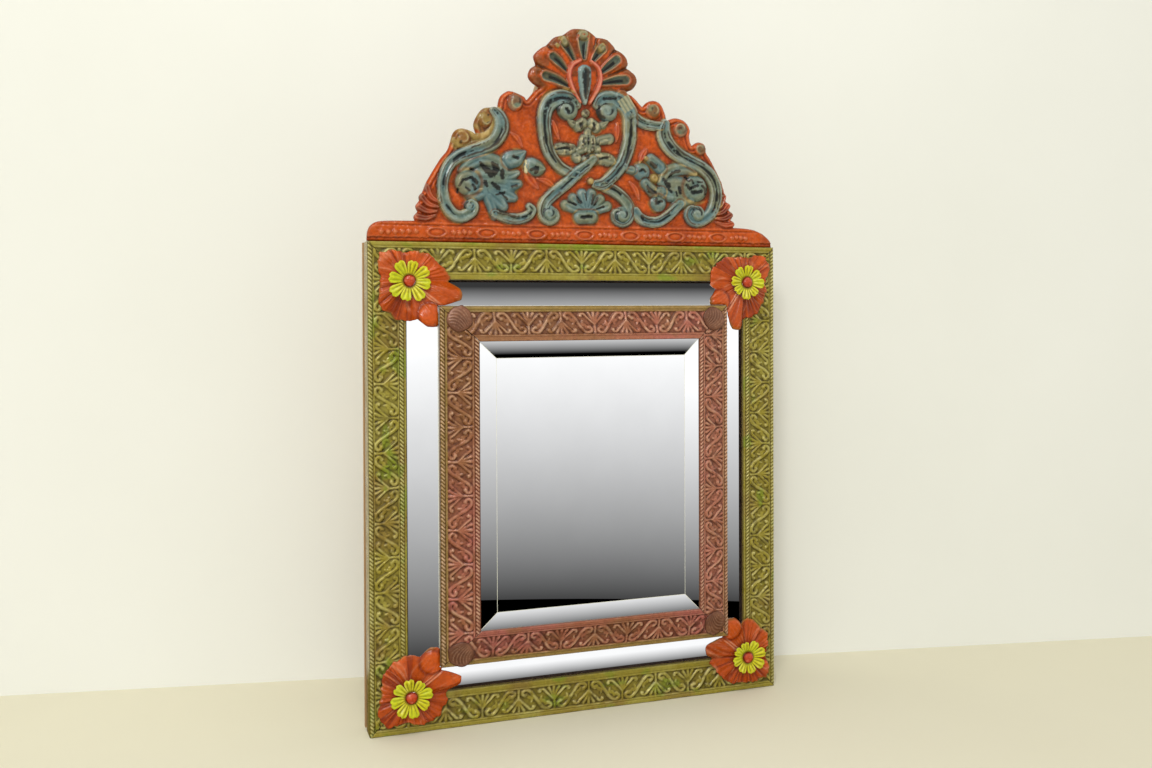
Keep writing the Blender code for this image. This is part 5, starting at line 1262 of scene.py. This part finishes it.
def boss_shape(seed):
    """Reach, height and paint of one boss: a round leaf, pointed at one side, with fine veins."""
    lean = np.random.default_rng(seed).uniform(-0.4, 0.4)

    def reach(angle):
        off = np.abs((angle - BOSS_POINT - lean + math.pi) % (2 * math.pi) - math.pi)
        return BOSS_RADIUS + bead(off, 1.3, 0.22) + 0.25 * np.sin(5 * angle + lean)

    def veins(angle, radius):
        u, v = flat_place(angle + lean, radius)
        return np.cos(2 * math.pi * (v * (1 + 0.05 * u) + 0.05 * u * u) / BOSS_VEINS)

    def height(angle, radius, share):
        swell = 1.7 * dome(0.96 * share) + 0.8
        return swell + 0.12 * veins(angle, radius) * ease(0.1, 0.3, share) * fade(0.7, 0.9, share)

    def paint(angle, radius, share):
        tone = mix(BOSS_DARK, BOSS_LIT, ease(-0.4, 0.6, rough_noise(*flat_place(angle, radius), 9, seed)))
        # Paler on the raised veins and darker between them, as painted highlight and shade, and darker at the
        # rim
        lines = veins(angle, radius) * fade(0.7, 0.9, share)
        tone = mix(tone, MAROON_PALE, 0.18 * ease(0.5, 1.0, lines))
        return mix(tone, MAROON_DARK, 0.4 * ease(0.4, 1.0, -lines) + 0.55 * ease(0.88, 1, share))

    return reach, height, paint


def build_corner(corner, seed):
    """One corner's leaf, flower and pin, and the boss on the inner frame beside them."""
    sign_x, sign_z, degrees = CORNERS[corner]
    turn = math.radians(degrees)
    x, z = sign_x * (HALF_WIDTH - CORNER_IN), sign_z * (HALF_HEIGHT - CORNER_IN)
    edge_x = INNER_EDGES[1 if sign_x > 0 else 0]
    edge_z = INNER_EDGES[3 if sign_z > 0 else 2]

    def to_frame(angle):
        way_x = np.maximum(-sign_x * np.cos(angle + turn), 0.01)
        way_z = np.maximum(-sign_z * np.sin(angle + turn), 0.01)
        return np.maximum(abs(x - edge_x) / way_x, abs(z - edge_z) / way_z)

    leaf = leaf_shape(seed, BUD_SIDE[corner], to_frame)
    spun_piece("veined_leaf_" + corner, "corner_leaf_" + corner, leaf, PIN_HOLE, *LEAF_MESH,
               (x, LEAF_DEPTH, z, turn), LEAF_PAINT, "red_metal")
    seat = LEAF_DEPTH + FLOWER_SEAT
    flower = flower_shape(seed + 50, FLOWER_SIZE[corner])
    spun_piece("petalled_flower_" + corner, "corner_flower_" + corner, flower, PIN_HOLE, *FLOWER_MESH,
               (x, seat, z, turn), FLOWER_PAINT, "yellow_metal")
    spun_piece("domed_pin_" + corner, "flower_pin_" + corner, pin_shape(seed), 0.02, *PIN_MESH,
               (x, seat + PIN_SEAT, z, turn), PIN_PAINT, "red_pin", PIN_SHEET)
    lean = math.atan2(INNER_RISE, math.hypot(INNER["left"], INNER["top"]))
    in_from_edge = INNER["top"] / 2 - BOSS_SHIFT[corner]
    depth = INNER_LOW + INNER_RISE * in_from_edge / INNER["top"] - 0.2
    place = (edge_x - sign_x * INNER["left"] / 2, depth, edge_z - sign_z * in_from_edge, turn)
    spun_piece("veined_boss_" + corner, "corner_boss_" + corner, boss_shape(seed + 90), 0.05, *BOSS_MESH,
               place, MAROON_PAINT, "maroon_metal", BOSS_SHEET, lean)


# Mirrors

ARRIS, ARRIS_FACE = 0.26, 0.32
GROUND_END, GROUND_LINE = 0.7, 0.35


def add_mirror(name, points, faces, ground, node):
    """A piece of mirror glass, with the faces listed in ground left matt and pale: ground glass that at the
    bevel's arris also stands for a painted glint.
    """
    piece = add_piece(name, points, faces, [SILVERED, GROUND_GLASS_AND_GLINT], [node], None,
                      range(len(faces)))
    for k in ground:
        piece.data.polygons[k].material_index = 1


def build_centre_mirror():
    """Bevelled plate: silvered plate and bevels, with a narrow ground arris between them, pale as a painted
    glint along the bevel's edge.
    """
    left, right, low, high = (OPENING[0] - TUCK, OPENING[1] + TUCK, OPENING[2] - TUCK, OPENING[3] + TUCK)
    points, faces, ground = [], [], []

    def add(x, depth, z):
        points.append((x, depth, z))
        return len(points) - 1

    front = MIRROR_EDGE + BEVEL_DROP
    plate = BEVEL + ARRIS_FACE
    ring = []
    for x, z, sx, sz in ((left, low, 1, 1), (right, low, -1, 1), (right, high, -1, -1), (left, high, 1, -1)):
        ring.append({
            "plate": add(x + sx * plate, front, z + sz * plate),
            "side": add(x + sx * BEVEL, front, z + sz * (BEVEL + ARRIS)),
            "level": add(x + sx * (BEVEL + ARRIS), front, z + sz * BEVEL),
            "side_rim": add(x, MIRROR_EDGE, z + sz * ARRIS),
            "level_rim": add(x + sx * ARRIS, MIRROR_EDGE, z),
            "rim": add(x, MIRROR_EDGE, z),
            "back": add(x, MIRROR_BACK, z),
        })
    faces.append([k["plate"] for k in ring])
    for p, q, way in zip(ring, ring[1:] + ring[:1], ("level", "side", "level", "side")):
        faces.append([p[way], q[way], q[way + "_rim"], p[way + "_rim"]])
        ground.append(len(faces))
        faces.append([p["plate"], q["plate"], q[way], p[way]])
        faces.append([p["rim"], p[way + "_rim"], q[way + "_rim"], q["rim"], q["back"], p["back"]])
    for k in ring:
        ground += [len(faces), len(faces) + 1]
        faces.append([k["plate"], k["side"], k["level"]])
        faces.append([k["side"], k["side_rim"], k["rim"], k["level_rim"], k["level"]])
    faces.append([k["back"] for k in ring])
    add_mirror("bevelled_mirror", points, faces, ground, "centre_mirror")


def build_margin_mirror(name):
    """A canted strip of mirror with ground ends and a ground line beside the inner frame."""
    side = Side(name, OUTER_EDGES, MARGIN)
    own = side.width
    thick = MARGIN_GLASS / math.cos(math.atan2(MARGIN_RISE, own))
    lines = (-GROOVE, own - GROUND_LINE, own, own + GROOVE)
    points, front, back = [], [], []
    for reach in lines:
        depth = MARGIN_LOW + MARGIN_RISE * reach / own
        first, last = side.ends(reach)
        first, last = first + RAIL, last - RAIL
        front.append(list(range(len(points), len(points) + 4)))
        for along in (first, first + GROUND_END, last - GROUND_END, last):
            points.append(side.place(along, depth, RAIL + reach))
        if reach in (lines[0], lines[-1]):
            back += [len(points), len(points) + 1]
            for along in (first, last):
                points.append(side.place(along, depth - thick, RAIL + reach))
    faces, ground = [], []
    for i in range(3):
        for j in range(3):
            if j != 1 or i == 1:
                ground.append(len(faces))
            faces.append([front[i][j], front[i][j + 1], front[i + 1][j + 1], front[i + 1][j]])
    a, b, c, d = back
    faces += [[a, b, d, c], front[0][::-1] + [a, b], front[3] + [d, c],
              [row[0] for row in front] + [c, a], [row[3] for row in front][::-1] + [b, d]]
    add_mirror("canted_mirror_" + name, points, faces, ground, "margin_mirror_" + name)


OUTER_SEED, INNER_SEED, CORNER_SEED = 2000, 3000, 4000
for number, side in enumerate(NEIGHBOURS):
    Strip(side, False, OUTER_SEED + 100 * number).build()
    Strip(side, True, INNER_SEED + 100 * number).build()
    build_margin_mirror(side)
for number, corner in enumerate(CORNERS):
    build_corner(corner, CORNER_SEED + 200 * number)
build_centre_mirror()

# Solids that show as they are, by the first of these words that is in their names
SOLID_LOOKS = {
    "screw": STEEL, "batten": PINE_Z, "spacer": PINE_X, "rail_top": WOOD_X, "rail_bottom": WOOD_X,
    "rail": WOOD_Z, "crest_board": PINE_X, "hanger": BRASS, "back": PINE_Z,
}
for name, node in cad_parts.items():
    if node.hide_render:
        continue
    for slot in node.material_slots:
        slot.link = "OBJECT"
        slot.material = next(look for word, look in SOLID_LOOKS.items() if word in name)


# Stage, light and camera

def stage_plane(name, corners, dark, light):
    mesh = bpy.data.meshes.new(name)
    mesh.from_pydata(corners, [], [(0, 1, 2, 3)])
    plane = bpy.data.objects.new(name, mesh)
    bpy.context.scene.collection.objects.link(plane)
    mesh.materials.append(two_tone(name, dark, light, 1.6, (0.7, 0.9), 0, None, 0.05))
    return plane


def clear_from_behind(material):
    """Let a material show what is behind it where it is seen from its back."""
    nodes, links = material.node_tree.nodes, material.node_tree.links
    clear, choose = nodes.new("ShaderNodeBsdfTransparent"), nodes.new("ShaderNodeMixShader")
    links.new(nodes.new("ShaderNodeNewGeometry").outputs["Backfacing"], choose.inputs[0])
    links.new(nodes["Principled BSDF"].outputs[0], choose.inputs[1])
    links.new(clear.outputs[0], choose.inputs[2])
    links.new(choose.outputs[0], nodes["Material Output"].inputs["Surface"])


# Metres: the wall stands at y = WALL_AT + WALL_SLOPE * x
FLOOR_AT = -HALF_HEIGHT * MM
WALL_AT, WALL_SLOPE = 0.0862, -0.1906
WALL_LEFT, WALL_RIGHT, WALL_TOP = -2.2, 0.80, 1.6
floor = stage_plane("stage_floor", [(x, y, FLOOR_AT) for x, y in ((-3, -4), (3, -4), (3, 3), (-3, 3))],
                    (225, 219, 194), (233, 228, 203))
floor.visible_glossy = False
wall = stage_plane("stage_wall", [(x, WALL_AT + WALL_SLOPE * x, z) for x, z in (
    (WALL_LEFT, FLOOR_AT), (WALL_RIGHT, FLOOR_AT), (WALL_RIGHT, WALL_TOP), (WALL_LEFT, WALL_TOP))],
    (240, 241, 233), (248, 249, 243))
clear_from_behind(wall.data.materials[0])

# Strength of the world's light on the object and behind it. What the mirrors see is a bright room over a dark
# floor: a slow ramp by how steeply a ray rises, and bands past its ends that follow the slope to the wall.
WORLD_LIGHT, BACKDROP_LIGHT, ROOM_LIGHT, RIGHT_LIFT = 0.54, 0.92, 1.06, 1.18
ROOM_TOP, ROOM_LOW, NEAR_LEVEL = -0.036, 0.06, 0.001
DARK_END, RIGHT_SIDE = (-0.7, 0.0, -0.313, -0.264), (0.5, 0.8)
ROOM_BANDS = (
    ("GREATER_THAN", 0.06, (0.1835, 0.205)), ("GREATER_THAN", 0.8, (2.047, 1.813, 0.04, ROOM_LIGHT)),
    ("LESS_THAN", -0.42, (-0.5745, -0.543)), ("LESS_THAN", -1.2, (-3.8564, -3.647)),
)


def build_world():
    """Even pale light, and the room that the mirrors show."""
    world = bpy.data.worlds.new("studio")
    bpy.context.scene.world = world
    world.use_nodes = True
    nodes, links = world.node_tree.nodes, world.node_tree.links

    def put(socket, value):
        if isinstance(value, (int, float)):
            socket.default_value = value
        else:
            links.new(value, socket)

    def calc(operation, a, b=0.0):
        node = nodes.new("ShaderNodeMath")
        node.operation = operation
        put(node.inputs[0], a)
        put(node.inputs[1], b)
        return node.outputs[0]

    def ramp(value, start, end, low=0.0, high=1.0):
        node = nodes.new("ShaderNodeMapRange")
        keys = "Value", "From Min", "From Max", "To Min", "To Max"
        for key, one in zip(keys, (value, start, end, low, high)):
            put(node.inputs[key], one)
        return node.outputs["Result"]

    def where(test, yes, no):
        return calc("ADD", calc("MULTIPLY", test, yes), calc("MULTIPLY", calc("SUBTRACT", 1.0, test), no))

    def share(a, b):
        return calc("DIVIDE", a, calc("MAXIMUM", b, NEAR_LEVEL))

    way = nodes.new("ShaderNodeSeparateXYZ")
    links.new(nodes.new("ShaderNodeTexCoord").outputs["Generated"], way.inputs[0])
    x, y, z = way.outputs
    level = calc("SQRT", calc("ADD", calc("MULTIPLY", x, x), calc("MULTIPLY", y, y)))
    rise, slope, sideways = share(z, level), share(z, calc("MULTIPLY", y, -1.0)), share(x, level)
    dark_end = ramp(sideways, *DARK_END)
    begin, end = RIGHT_SIDE
    right = calc("MULTIPLY", calc("GREATER_THAN", sideways, begin), calc("LESS_THAN", sideways, end))
    above = calc("GREATER_THAN", rise, dark_end)
    seen = calc("MULTIPLY", ramp(rise, dark_end, ROOM_TOP, ROOM_LOW, ROOM_LIGHT), above)
    seen = calc("MINIMUM", calc("MULTIPLY", seen, where(right, RIGHT_LIFT, 1.0)), ROOM_LIGHT)
    for test, bound, band in ROOM_BANDS:
        seen = where(calc(test, rise, bound), ramp(slope, *band), seen)
    path = nodes.new("ShaderNodeLightPath")
    strength = where(path.outputs["Is Glossy Ray"], seen, WORLD_LIGHT)
    strength = where(path.outputs["Is Camera Ray"], BACKDROP_LIGHT, strength)
    ground = nodes["Background"]
    ground.inputs["Color"].default_value = (1.0, 1.0, 1.0, 1.0)
    links.new(strength, ground.inputs["Strength"])


build_world()

LAMP_COLOUR = (1.0, 0.99, 0.97)


def area_light(name, place, target, size, power):
    lamp = bpy.data.lights.new(name, "AREA")
    lamp.shape, lamp.size, lamp.energy, lamp.color = "DISK", size, power, LAMP_COLOUR
    light = bpy.data.objects.new(name, lamp)
    bpy.context.scene.collection.objects.link(light)
    light.location = place
    light.rotation_euler = (Vector(target) - Vector(place)).to_track_quat("-Z", "Y").to_euler()


area_light("key_light", (-1.08, -1.95, 1.35), (0.0, 0.0, 0.05), 0.6, 19.5)
area_light("top_light", (-0.35, -1.0, 1.9), (0.0, -0.1, 0.0), 0.7, 10.5)

# The photo's camera, solved from the corners of the frames: focal length and shift in pixels of its width
PHOTO_WIDTH, FOCAL, SHIFT = 1152, 1100, -64
SENSOR = 36.0
CAMERA_AT = (-0.302, -0.8722, 0.1378)
CAMERA_FORWARD, CAMERA_UP = (0.3301, 0.9439, -0.0099), (0.0068, 0.0081, 0.9999)
camera_data = bpy.data.cameras.new("camera")
camera_data.sensor_width = SENSOR
camera_data.lens = SENSOR * FOCAL / PHOTO_WIDTH
camera_data.shift_y = SHIFT / PHOTO_WIDTH
camera_data.clip_start, camera_data.clip_end = 0.01, 50.0
camera = bpy.data.objects.new("camera", camera_data)
bpy.context.scene.collection.objects.link(camera)
forward = Vector(CAMERA_FORWARD).normalized()
right = forward.cross(Vector(CAMERA_UP)).normalized()
turned = Matrix((right, right.cross(forward), -forward)).transposed().to_4x4()
camera.matrix_world = Matrix.Translation(CAMERA_AT) @ turned
bpy.context.scene.camera = camera
bpy.context.scene.view_settings.view_transform = "Standard"
